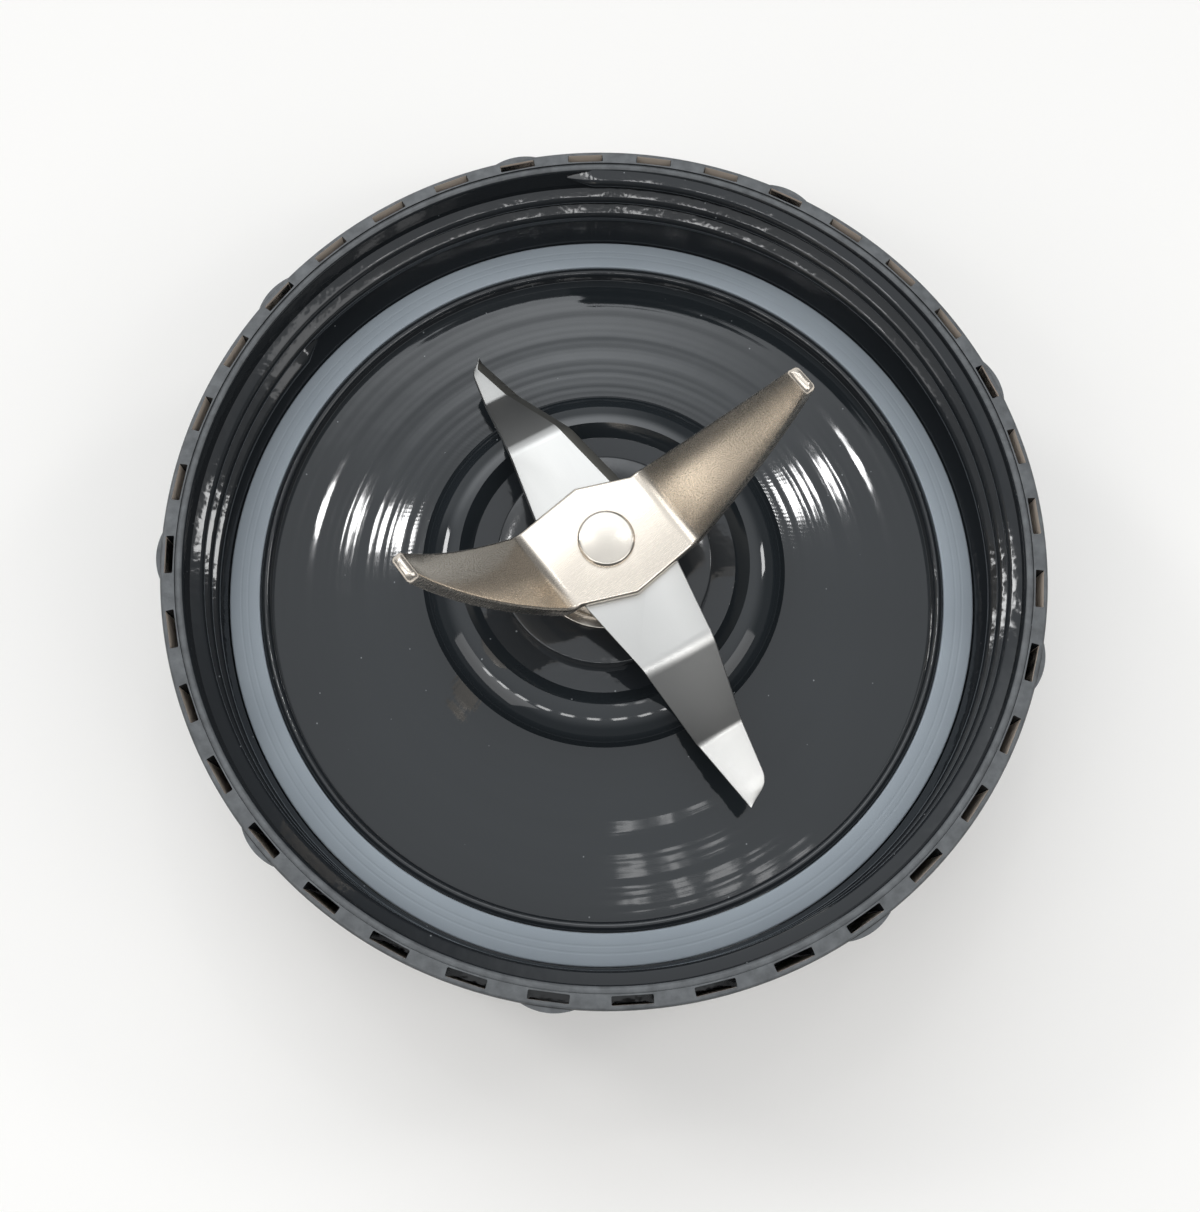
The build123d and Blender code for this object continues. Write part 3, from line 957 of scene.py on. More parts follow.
@dataclass
class Collar:
    """The black moulding: skirt, rim, jar thread, gasket groove, dish, boss and webs."""

    rim_radius: float = 44.0
    rim_height: float = 36.0
    rim_wall: float = 2.2
    lip_step: float = 0.25
    lip_step_width: float = 0.75
    lip_round: float = 0.45
    step_round: float = 0.06
    skirt_wall: float = 2.4
    edge_round: float = 0.35
    pocket_count: int = 36
    pocket_depth: float = 12.0
    pocket_width: float = 3.8
    pocket_gap: float = 0.8
    pocket_wall: float = 0.5
    rib_count: int = 9
    rib_width: float = 4.8
    rib_height: float = 0.45
    rib_foot: float = 4.0
    rib_root: float = 0.25
    first_rib: float = 26.2
    thread_pitch: float = 3.6
    thread_rise: float = 10.35
    thread_start: float = 144.0
    thread_depth: float = 1.2
    thread_base: float = 2.4
    thread_crest: float = 0.9
    crest_round: float = 0.7
    thread_drop: float = 11.86
    thread_root: float = 0.25
    thread_run_out: float = 0.01
    thread_end: float = 0.12
    thread_chords: int = 8
    thread_steps: int = 560
    groove_ledge: float = 1.45
    groove_width: float = 3.4
    groove_drop: float = 16.2
    groove_wall: float = 2.4
    relief: float = 2.2
    bead_width: float = 1.0
    bead_height: float = 2.2
    bead_round: float = 0.488
    boss_radius: float = 18.8
    boss_slope: float = 59.5
    dish_edge_rise: float = 0.73
    boss_climb: float = 5.37
    boss_rise: float = 1.5
    boss_edge_radius: float = 15.3
    recess_radius: float = 13.9
    recess_depth: float = 1.1
    dish_wall: float = 2.6
    bore_radius: float = 9.03
    tube_radius: float = 12.93
    tube_length: float = 8.5
    boss_floor: float = 3.6
    web_count: int = 8
    web_thickness: float = 1.8
    web_height: float = 4.6
    web_step_radius: float = 24.0
    web_lift: float = 1.0
    fine_round: float = 0.12
    segments: int = 288
    edge_chords: int = 6
    pocket_chords: int = 3
    dish_chords: int = 72
    shoulder_chords: int = 10
    under_chords: int = 16
    web_chords: int = 12
    rib_chords: int = 14
    level_face: float = 0.7
    inward_face: float = 0.9

    def __post_init__(self) -> None:
        """Works out the radii and heights that the driving sizes give."""
        self.lip_radius = self.rim_radius - self.rim_wall
        self.groove_outer = self.lip_radius - self.groove_ledge
        self.groove_inner = self.groove_outer - self.groove_width
        self.bead_inner = self.groove_inner - self.bead_width
        self.groove_floor = self.rim_height - self.groove_drop
        self.dish_edge = self.groove_floor + self.dish_edge_rise
        self.boss_edge = self.dish_edge + self.boss_climb
        self.boss_top = self.boss_edge + self.boss_rise
        self.recess_floor = self.boss_top - self.recess_depth
        self.tube_bottom = self.recess_floor - self.tube_length
        width = self.bead_inner - self.boss_radius
        fall = math.atan2(self.boss_climb, width)
        slope = math.radians(self.boss_slope)
        self.trough_radius = math.hypot(width, self.boss_climb) / 2 / math.sin(slope - fall)
        self.trough_ring = self.boss_radius + self.trough_radius * math.sin(slope)
        self.trough_centre = self.boss_edge + self.trough_radius * math.cos(slope)
        self.underside = self.trough_centre - self.trough_radius - self.dish_wall

    def trough(self, start: float, end: float, below: float, steps: int) -> list[Point]:
        """Gives points of the dish's round trough.

        Args:
            start: Radius of the first point.
            end: Radius of the last point.
            below: Depth of the line under the dish's surface.
            steps: Number of chords.

        Returns:
            Radius and height of each point.
        """
        reach = self.trough_radius + below
        shares = [(radius - self.trough_ring) / reach for radius in (start, end)]
        angles = [math.degrees(math.asin(share)) - 90 for share in shares]
        return arc_points((self.trough_ring, self.trough_centre), reach, *angles, steps)

    def section(self) -> list[Point]:
        """Gives the closed half section of the moulding.

        Returns:
            Radius and height of each point.
        """
        fine = self.fine_round
        inner = self.rim_radius - self.skirt_wall
        step = self.lip_radius + self.lip_step_width
        ledge = self.rim_height - self.lip_step
        bead_top = self.groove_floor + self.bead_height
        relief_bottom = self.groove_floor + self.groove_wall
        outside = rounded(
            [
                (inner, self.underside, fine),
                (inner, 0, fine),
                (self.rim_radius, 0, self.edge_round),
                (self.rim_radius, self.rim_height, self.edge_round),
                (step, self.rim_height, self.step_round),
                (step, ledge, 0),
                (self.lip_radius, ledge, self.lip_round),
                (self.lip_radius, relief_bottom + self.relief, self.lip_round),
                (self.groove_outer, relief_bottom, fine),
                (self.groove_outer, self.groove_floor, 0),
                (self.groove_inner, self.groove_floor, 0),
                (self.groove_inner, bead_top, self.bead_round),
                (self.bead_inner, bead_top, self.bead_round),
                (self.bead_inner, self.dish_edge, 0),
            ],
            closed=False,
            steps=self.edge_chords,
        )
        dish = self.trough(self.bead_inner, self.boss_radius, 0, self.dish_chords)[1:]
        run = self.boss_radius - self.boss_edge_radius
        shoulder_radius = (run**2 + self.boss_rise**2) / (2 * self.boss_rise)
        shoulder_centre = (self.boss_edge_radius, self.boss_top - shoulder_radius)
        shoulder_start = math.degrees(math.asin((self.boss_edge - shoulder_centre[1]) / shoulder_radius))
        shoulder = arc_points(shoulder_centre, shoulder_radius, shoulder_start, 90, self.shoulder_chords)[1:]
        boss_underside = self.recess_floor - self.boss_floor
        under_reach = self.trough_radius + self.dish_wall
        under_drop = self.trough_centre - boss_underside
        under_start = self.trough_ring - math.sqrt(under_reach**2 - under_drop**2)
        seat = rounded(
            [
                (*shoulder[-1], 0),
                (self.recess_radius, self.recess_floor, fine),
                (self.bore_radius, self.recess_floor, fine),
                (self.bore_radius, self.tube_bottom, fine),
                (self.tube_radius, self.tube_bottom, fine),
                (self.tube_radius, boss_underside, fine),
                (under_start, boss_underside, 0),
            ],
            closed=False,
        )[1:-1]
        under = self.trough(under_start, self.trough_ring, self.dish_wall, self.under_chords)
        return outside + dish + shoulder + seat + under

    def pockets(self) -> Mesh:
        """Gives the cutters of all pockets in the rim.

        Returns:
            One mesh of all cutters.
        """
        outer = self.rim_radius - self.pocket_wall
        half = self.pocket_width / 2
        fine = self.fine_round
        outline = rounded(
            [
                (outer - self.pocket_gap, -half, fine),
                (outer, -half, fine),
                (outer, half, fine),
                (outer - self.pocket_gap, half, fine),
            ],
            steps=self.pocket_chords,
        )
        form = prism_form(outline, self.rim_height - self.pocket_depth, self.rim_height + CUT_MARGIN, upright)
        return repeated(form, "rim_pockets", self.pocket_count, self.first_rib, GLOSSY_ABS)

    def ribs(self) -> Mesh:
        """Gives all grip ribs up the outside of the skirt.

        Returns:
            One mesh of all ribs.
        """
        half = self.rib_width / 2
        rise = self.rib_height + half**2 / (2 * self.rim_radius)
        curve = (half**2 + rise**2) / (2 * rise)
        centre = (self.rim_radius + self.rib_height - curve, 0.0)
        spread = math.degrees(math.asin(half / curve))
        top = self.rim_height - self.edge_round
        crown = arc_points(centre, curve, -spread, spread, self.rib_chords)
        root = self.rim_radius - self.rib_root
        loops = []
        for height, share in ((self.rib_foot, 0.0), (self.rib_foot + self.rib_height, 1.0), (top, 1.0)):
            edge = [(root + (x - root) * share, y) for x, y in crown]
            outline = edge + [(root - self.rib_root, half), (root - self.rib_root, -half)]
            loops.append([Vector((x, y, height)) for x, y in outline])
        return repeated(lofted_form(loops), "grip_ribs", self.rib_count, self.first_rib, GLOSSY_ABS)

    def webs(self) -> Mesh:
        """Gives all webs under the dish.

        Returns:
            One mesh of all webs.
        """
        crown = self.trough(self.boss_radius, self.trough_ring, self.dish_wall / 2, self.web_chords)
        inner = (self.bore_radius + self.tube_radius) / 2
        outer = self.rim_radius - self.skirt_wall / 2
        bottom = self.underside - self.web_height
        lift = self.tube_bottom + self.web_lift
        outline = crown + [
            (outer, crown[-1][1]),
            (outer, bottom),
            (self.web_step_radius, bottom),
            (self.tube_radius, lift),
            (inner, lift),
            (inner, crown[0][1]),
        ]
        half = self.web_thickness / 2
        form = prism_form(outline, -half, half, radial)
        return repeated(form, "dish_webs", self.web_count, 0.0, GLOSSY_ABS)

    def thread(self) -> Mesh:
        """Gives the ridge of the jar thread.

        Returns:
            Mesh of the ridge.
        """
        base, crest = self.thread_base / 2, self.thread_crest / 2
        outline = rounded(
            [
                (self.thread_root, -base, 0),
                (-self.thread_depth, -crest, self.crest_round),
                (-self.thread_depth, crest, self.crest_round),
                (self.thread_root, base, 0),
            ],
            steps=self.thread_chords,
        )
        bm = bmesh.new()
        corners = [bm.verts.new((x * MM, y * MM, 0)) for x, y in outline]
        for index in range(len(corners)):
            bm.edges.new((corners[index - 1], corners[index]))
        mesh = bpy.data.meshes.new("thread_section")
        bm.to_mesh(mesh)
        bm.free()
        inputs = {
            "Radius": self.lip_radius * MM,
            "Bottom": (self.rim_height - self.thread_drop) * MM,
            "Start Azimuth": math.radians(self.thread_start),
            "Rise": self.thread_rise * MM,
            "Pitch": self.thread_pitch * MM,
            "Steps": self.thread_steps,
            "Run-out": self.thread_run_out,
            "End Size": self.thread_end,
            "Material": GLOSSY_ABS.build(),
        }
        return run_tree(mesh, helical_ridge(), inputs)

    def face_kind(self, polygon: bpy.types.MeshPolygon) -> CollarFace:
        """Tells which finish a face of the moulding takes.

        Args:
            polygon: The face.

        Returns:
            Its kind.
        """
        centre = polygon.center / MM
        radius = math.hypot(centre.x, centre.y)
        inward = -(polygon.normal.x * centre.x + polygon.normal.y * centre.y) / radius
        if self.bead_inner > radius > self.recess_radius and polygon.normal.z > 0:
            return CollarFace.DISH
        on_thin_wall = abs(radius - self.rim_radius + self.pocket_wall) < self.pocket_wall / 2
        in_pocket = on_thin_wall and centre.z > self.rim_height - self.pocket_depth
        if in_pocket and inward > self.inward_face:
            return CollarFace.POCKET
        if centre.z > self.rim_height - self.edge_round and polygon.normal.z > self.level_face:
            return CollarFace.RIM
        return CollarFace.PLAIN

    def build(self) -> None:
        """Builds the moulding and dresses its dish, its rim top with a partly painted sheen, and the thin
        wall of its pockets with a painted glow.
        """
        body = solid(turned_form(self.section(), self.segments), "collar_body")
        body = cut_or_fused(body, self.pockets(), Joining.CUT)
        mesh = solid(gathered([body, self.ribs(), self.webs(), self.thread()]), "collar_moulding")
        for polygon in mesh.polygons:
            polygon.material_index = self.face_kind(polygon).value
        finishes = (GLOSSY_ABS, DISH_ABS, PAINTED_GLOW_ABS, RUBBED_AND_SHEEN_ABS)
        dressed_piece("collar_moulding", mesh, Body.BASE, ["collar"], finishes)


@dataclass
class Gasket:
    """Flat silicone ring with two fine grooves round its top."""

    outer: float = 40.25
    inner: float = 37.05
    bottom: float = 19.8
    top: float = 21.8
    edge_round: float = 0.22
    line_spacing: float = 0.7
    line_width: float = 0.3
    line_floor: float = 0.1
    line_depth: float = 0.015
    line_edge_round: float = 0.05
    line_floor_round: float = 0.03
    segments: int = 240

    def build(self) -> None:
        """Builds and dresses the ring."""
        middle = (self.outer + self.inner) / 2
        corners: list[Corner] = [(self.inner, self.bottom, 0), (self.outer, self.bottom, 0)]
        corners.append((self.outer, self.top, self.edge_round))
        for side in (0.5, -0.5):
            line = middle + side * self.line_spacing
            half, floor = self.line_width / 2, self.line_floor / 2
            corners += [
                (line + half, self.top, self.line_edge_round),
                (line + floor, self.top - self.line_depth, self.line_floor_round),
                (line - floor, self.top - self.line_depth, self.line_floor_round),
                (line - half, self.top, self.line_edge_round),
            ]
        corners.append((self.inner, self.top, self.edge_round))
        turned_piece(
            "gasket_ring", corners, self.segments, Body.BASE, "gasket", GASKET_SILICONE
        )


@dataclass
class Bearing:
    """Bearing housing with its cap, and the nut and washer that hold it from below."""

    sleeve_radius: float = 9.0
    sleeve_bottom: float = 12.8
    flange_radius: float = 11.3
    recess_floor: float = 26.3
    flange_top: float = 27.8
    seal_radius: float = 7.6
    seal_seat: float = 24.6
    bush_radius: float = 6.0
    cap_inner: float = 5.58
    cap_bottom: float = 27.0
    fit_gap: float = 0.03
    nut_bottom: float = 13.4
    nut_top: float = 17.0
    nut_bore: float = 9.03
    nut_wall: float = 3.0
    nut_bevel: float = 30.0
    washer_radius: float = 12.83
    washer_top: float = 17.8
    edge_round: float = 0.25
    fine_round: float = 0.1
    housing_segments: int = 192
    ring_segments: int = 128
    nut_segments: int = 96

    def build(self) -> None:
        """Builds and dresses the four pieces."""
        self.housing()
        self.cap()
        self.nut()
        self.washer()

    def housing(self) -> None:
        """Builds the flanged sleeve."""
        fine = self.fine_round
        corners = [
            (self.bush_radius, self.sleeve_bottom, fine),
            (self.sleeve_radius, self.sleeve_bottom, self.edge_round),
            (self.sleeve_radius, self.recess_floor, 0),
            (self.flange_radius, self.recess_floor, 0),
            (self.flange_radius, self.flange_top, self.edge_round),
            (self.seal_radius, self.flange_top, fine),
            (self.seal_radius, self.seal_seat, 0),
            (self.bush_radius, self.seal_seat, 0),
        ]
        turned_piece(
            "bearing_sleeve", corners, self.housing_segments,
            Body.BASE, "bearing_housing", HOUSING_NYLON,
        )

    def cap(self) -> None:
        """Builds the ring over the seal."""
        fine = self.fine_round
        outer = self.seal_radius - self.fit_gap
        corners = [
            (self.cap_inner, self.cap_bottom, 0),
            (outer, self.cap_bottom, 0),
            (outer, self.flange_top, fine),
            (self.cap_inner, self.flange_top, fine),
        ]
        turned_piece(
            "seal_cap_ring", corners, self.ring_segments,
            Body.BASE, "seal_cap", TURNED_STEEL,
        )

    def nut(self) -> None:
        """Builds the hexagon nut, turned off at its corners."""
        flats = self.nut_bore + self.nut_wall
        outline = hexagon(flats)
        corner = outline[0][0]
        prism = solid(prism_form(outline, self.nut_bottom, self.nut_top, upright), "nut_prism")
        drop = (corner - flats) * math.tan(math.radians(self.nut_bevel))
        turned_off = [
            (self.nut_bore, self.nut_bottom),
            (flats, self.nut_bottom),
            (corner, self.nut_bottom + drop),
            (corner + CUT_MARGIN, self.nut_bottom + drop),
            (corner + CUT_MARGIN, self.nut_top - drop),
            (corner, self.nut_top - drop),
            (flats, self.nut_top),
            (self.nut_bore, self.nut_top),
        ]
        blank = solid(turned_form(turned_off, self.nut_segments), "nut_blank")
        mesh = solid(gathered([cut_or_fused(prism, blank, Joining.SHARE)]), "clamp_hex_nut")
        dressed_piece("clamp_hex_nut", mesh, Body.BASE, ["clamp_nut"], [ZINC_PLATE])

    def washer(self) -> None:
        """Builds the plain washer."""
        fine = self.fine_round
        corners = [
            (self.nut_bore, self.nut_top, fine),
            (self.washer_radius, self.nut_top, fine),
            (self.washer_radius, self.washer_top, fine),
            (self.nut_bore, self.washer_top, fine),
        ]
        turned_piece(
            "clamp_plain_washer", corners, self.ring_segments,
            Body.BASE, "clamp_washer", ZINC_PLATE,
        )


@dataclass
class Shaft:
    """Turned shaft with its peened head, and the spacer under the blades."""

    tail_radius: float = 3.0
    tail_bottom: float = 6.98
    tail_top: float = 10.78
    journal_radius: float = 4.03
    clip_bottom: float = 11.28
    clip_top: float = 12.08
    clip_groove: float = 0.7
    shoulder_radius: float = 5.03
    shoulder_bottom: float = 24.72
    shoulder_top: float = 28.2
    spigot_radius: float = 2.1
    blades_top: float = 34.4
    head_radius: float = 2.9
    head_height: float = 0.7
    head_edge: float = 0.35
    spacer_radius: float = 6.4
    spacer_top: float = 32.0
    spacer_bore: float = 2.53
    edge_round: float = 0.2
    segments: int = 128

    def build(self) -> None:
        """Builds and dresses the shaft and the spacer."""
        groove = self.journal_radius - self.clip_groove
        head_top = self.blades_top + self.head_height
        edge = self.edge_round
        corners = [
            (0, self.tail_bottom, 0),
            (self.tail_radius, self.tail_bottom, edge),
            (self.tail_radius, self.tail_top, 0),
            (self.journal_radius, self.tail_top, edge),
            (self.journal_radius, self.clip_bottom, 0),
            (groove, self.clip_bottom, 0),
            (groove, self.clip_top, 0),
            (self.journal_radius, self.clip_top, 0),
            (self.journal_radius, self.shoulder_bottom, 0),
            (self.shoulder_radius, self.shoulder_bottom, 0),
            (self.shoulder_radius, self.shoulder_top, edge),
            (self.spigot_radius, self.shoulder_top, 0),
            (self.spigot_radius, self.blades_top, 0),
            (self.head_radius, self.blades_top, 0),
            (self.head_radius, head_top, self.head_edge),
            (0, head_top, 0),
        ]
        turned_piece(
            "riveted_shaft", corners, self.segments, Body.ROTOR, "drive_shaft", TURNED_STEEL
        )
        spacer = [
            (self.spacer_bore, self.shoulder_top, 0),
            (self.spacer_radius, self.shoulder_top, edge),
            (self.spacer_radius, self.spacer_top, edge),
            (self.spacer_bore, self.spacer_top, 0),
        ]
        turned_piece(
            "hub_spacer", spacer, self.segments, Body.ROTOR, "blade_spacer", TURNED_STEEL
        )


@dataclass
class Coupling:
    """Splined cup under the collar and its brass insert."""

    radius: float = 13.0
    top: float = 10.78
    bottom: float = 1.18
    wall: float = 2.6
    web: float = 3.8
    spline_count: int = 12
    spline_height: float = 1.4
    spline_width: float = 2.0
    spline_root: float = 1.3
    hub_flats: float = 11.0
    hub_bore: float = 3.03
    fit_gap: float = 0.03
    edge_round: float = 0.6
    fine_round: float = 0.25
    core_radius: float = 0.5
    cup_segments: int = 160
    bore_segments: int = 64

    def build(self) -> None:
        """Builds and dresses the cup and the insert."""
        self.cup()
        self.insert()

    def cup(self) -> None:
        """Builds the cup with its socket and splines."""
        inner = self.radius - self.wall
        web_bottom = self.top - self.web
        fine = self.fine_round
        section = rounded(
            [
                (self.core_radius, web_bottom, 0),
                (inner, web_bottom, 0),
                (inner, self.bottom, fine),
                (self.radius, self.bottom, fine),
                (self.radius, self.top, self.edge_round),
                (self.core_radius, self.top, 0),
            ]
        )
        cup = solid(turned_form(section, self.cup_segments), "cup_body")
        socket = hexagon(self.hub_flats / 2 + self.fit_gap)
        tool = prism_form(socket, web_bottom - CUT_MARGIN, self.top + CUT_MARGIN, upright)
        cup = cut_or_fused(cup, solid(tool, "cup_socket"), Joining.CUT)
        half = self.spline_width / 2
        outline = rounded(
            [
                (inner + self.spline_root, -half, 0),
                (inner + self.spline_root, half, 0),
                (inner - self.spline_height, half, fine),
                (inner - self.spline_height, -half, fine),
            ]
        )
        spline = prism_form(outline, self.bottom + fine, web_bottom + fine, upright)
        splines = repeated(spline, "cup_splines", self.spline_count, 0.0, COUPLING_NYLON)
        mesh = solid(gathered([cup, splines]), "coupling_cup")
        finishes = [COUPLING_NYLON]
        dressed_piece("coupling_cup", mesh, Body.ROTOR, ["drive_coupling"], finishes)

    def insert(self) -> None:
        """Builds the hexagon insert with its bore."""
        bottom = self.top - self.web
        low, high = bottom - CUT_MARGIN, self.top + CUT_MARGIN
        blank = solid(prism_form(hexagon(self.hub_flats / 2), bottom, self.top, upright), "insert_blank")
        section = [(0, low), (self.hub_bore, low), (self.hub_bore, high), (0, high)]
        bore = solid(turned_form(section, self.bore_segments), "insert_bore")
        mesh = solid(gathered([cut_or_fused(blank, bore, Joining.CUT)]), "coupling_insert")
        dressed_piece("coupling_insert", mesh, Body.ROTOR, ["coupling_hub"], [BRASS])


@dataclass(frozen=True)
class Station:
    """One cross-section of a bent sheet: its place, the sheet's slope there and its two edges."""

    out: float
    height: float
    slope: float
    low: float
    high: float
    thickness: float = 1.0


def lerp(start: float, end: float, share: float) -> float:
    """Gives the value a share of the way from start to end."""
    return start + (end - start) * share


@dataclass
class BentSheet:
    """What both blades share: a sheet of even thickness along a bent line."""

    bottom: float = 32.0
    sheet: float = 1.2
    edge_round: float = 0.16
    spigot_radius: float = 2.53
    spigot_flats: float = 4.26
    spigot_chords: int = 12
    section_chords: int = 3
    bevel_round: float = 0.04
    most_bevel: float = 0.7
    most_edge: float = 0.3
    most_edge_depth: float = 0.6
    ground_edge_share: float = 1 / 3

    def cross_section(self, station: Station, ground: GroundSide | None, bevel: Point) -> list[Point]:
        """Gives the rounded outline across an arm.

        Args:
            station: Edges of the arm and the share of the sheet's thickness that it has there.
            ground: Side of the ground bevel, or None.
            bevel: Width and depth of the bevel.

        Returns:
            Place across the arm and place through the sheet of each point.
        """
        low, high = station.low, station.high
        half = self.sheet / 2 * station.thickness
        width, depth = min(bevel[0], self.most_bevel * (high - low)), bevel[1]
        edge = min(self.edge_round, self.most_edge * (high - low), self.most_edge_depth * half)
        top = half - depth if ground is GroundSide.ABOVE else half
        bottom = -half + depth if ground is GroundSide.BELOW else -half
        lead = edge * self.ground_edge_share if ground else edge
        upper = [(low + width, half, self.bevel_round)] if ground is GroundSide.ABOVE else []
        lower = [(low + width, -half, self.bevel_round)] if ground is GroundSide.BELOW else []
        corners = lower + [(low, bottom, lead), (low, top, lead)] + upper
        return rounded(corners + [(high, half, edge), (high, -half, edge)], steps=self.section_chords)

    def loop(self, azimuth: float, base: float, station: Station, outline: Sequence[Point]) -> list[Vector]:
        """Places a cross-section in the frame.

        Args:
            azimuth: Azimuth of the arm.
            base: Height of the sheet's middle at the hub.
            station: Where the cross-section stands.
            outline: Its points.

        Returns:
            Its points in millimetres.
        """
        angle, slope = math.radians(azimuth), math.radians(station.slope)
        outward = Vector((math.cos(angle), math.sin(angle), 0))
        across = Vector((-math.sin(angle), math.cos(angle), 0))
        normal = Vector((0, 0, 1)) * math.cos(slope) - outward * math.sin(slope)
        origin = outward * station.out + Vector((0, 0, base + station.height))
        return [origin + across * side + normal * through for side, through in outline]

    def spigot_hole(self) -> Mesh:
        """Gives the cutter of the hole that fits the shaft's flatted top.

        Returns:
            Mesh of the cutter.
        """
        low, high = self.bottom - CUT_MARGIN, self.bottom + self.sheet + CUT_MARGIN
        half = self.spigot_flats / 2
        spread = math.degrees(math.asin(half / self.spigot_radius))
        outline = arc_points((0, 0), self.spigot_radius, -spread, spread, self.spigot_chords)
        outline += arc_points((0, 0), self.spigot_radius, 180 - spread, 180 + spread, self.spigot_chords)
        return solid(prism_form(outline, low, high, upright), "spigot_hole")


@dataclass
class UpperBlade(BentSheet):
    """Blade with a level hub and two arms folded up and slightly cupped."""

    edge_round: float = 0.34
    azimuth: float = 41.4
    bottom: float = 33.2
    fold_distance: float = 7.3
    fold_lead: float = 5.9
    fold_trail: float = 3.8
    waist_radius: float = 6.3
    waist_azimuth: float = 124.0
    bend_radius: float = 2.4
    reach: float = 25.6
    cup_radius: float = 75.0
    tip_lead: float = 5.2
    tip_trail: float = 2.6
    tip_round: float = 0.7
    tip_edge: float = 0.3
    waist_ease: float = 0.25
    rises: tuple[float, float] = (65.0, 62.5)
    fold_chords: int = 14
    arm_chords: int = 24
    plain_chords: int = 21
    tip_chords: int = 6

    def arm(self, rise: float) -> list[Station]:
        """Gives the stations of one arm from the start of its fold to its tip.

        Args:
            rise: Angle that the arm stands up at.

        Returns:
            Stations with edges measured towards the trailing side.
        """
        cup = math.degrees(self.reach / self.cup_radius)
        fold = rise - cup / 2
        start = self.fold_distance - self.bend_radius * math.tan(math.radians(fold) / 2)
        line = [(start, 0.0, 0.0)]
        for step in range(1, self.fold_chords + 1):
            angle = fold * step / self.fold_chords
            turn = math.radians(angle)
            out = start + self.bend_radius * math.sin(turn)
            line.append((out, self.bend_radius * (1 - math.cos(turn)), angle))
        lean = math.radians(rise)
        rest = math.radians(fold - rise)
        foot_out, foot_height, _ = line[-1]
        root = (foot_out - self.fold_distance) * math.cos(lean) + foot_height * math.sin(lean)
        end = math.asin((self.reach - root) / self.cup_radius + math.sin(rest)) - rest
        shares = [step / self.arm_chords for step in range(1, self.plain_chords + 1)]
        for step in range(self.tip_chords + 1):
            nose_turn = math.pi / 2 * step / self.tip_chords
            shares.append(1 - self.tip_round / self.reach * math.cos(nose_turn))
        for share in sorted(shares):
            turn = math.radians(fold) + end * share
            out = foot_out + self.cup_radius * (math.sin(turn) - math.sin(math.radians(fold)))
            height = foot_height + self.cup_radius * (math.cos(math.radians(fold)) - math.cos(turn))
            line.append((out, height, math.degrees(turn)))
        stations = []
        for out, height, slope in line:
            along = (out - self.fold_distance) * math.cos(lean) + height * math.sin(lean)
            share = max(0.0, along / self.reach)
            into_round = max(0.0, along - self.reach + self.tip_round)
            inset = self.tip_round - math.sqrt(max(0.0, self.tip_round**2 - into_round**2))
            low = -lerp(self.fold_lead, self.tip_lead, share) + inset
            high = -lerp(-self.fold_trail, self.tip_trail, share) - inset
            nose = math.sqrt(max(0.0, 1 - (into_round / self.tip_round) ** 2))
            stations.append(Station(out, height, slope, low, high, max(self.tip_edge, nose)))
        return stations

    def build(self) -> None:
        """Builds the sheet from tip to tip and dresses it."""
        first, second = [self.arm(rise) for rise in self.rises]
        waist = math.radians(self.waist_azimuth - self.azimuth)
        waist_out = self.waist_radius * math.cos(waist)
        waist_side = self.waist_radius * math.sin(waist)
        far = [Station(-s.out, s.height, -s.slope, -s.high, -s.low, s.thickness) for s in reversed(second)]
        middle = []
        for out, low, high in (
            (-waist_out, -waist_side, lerp(waist_side, far[-1].high, self.waist_ease)),
            (waist_out, lerp(-waist_side, first[0].low, self.waist_ease), waist_side),
        ):
            middle.append(Station(out, 0.0, 0.0, low, high))
        stations = far + middle + first
        loops = []
        for station in stations:
            outline = self.cross_section(station, None, (0.0, 0.0))
            loops.append(self.loop(self.azimuth, self.bottom + self.sheet / 2, station, outline))
        mesh = solid(lofted_form(loops), "upper_sheet")
        mesh = solid(gathered([cut_or_fused(mesh, self.spigot_hole(), Joining.CUT)]), "upper_blade_sheet")
        dressed_piece("upper_blade_sheet", mesh, Body.ROTOR, ["upper_blade"], [UPPER_SHEET])


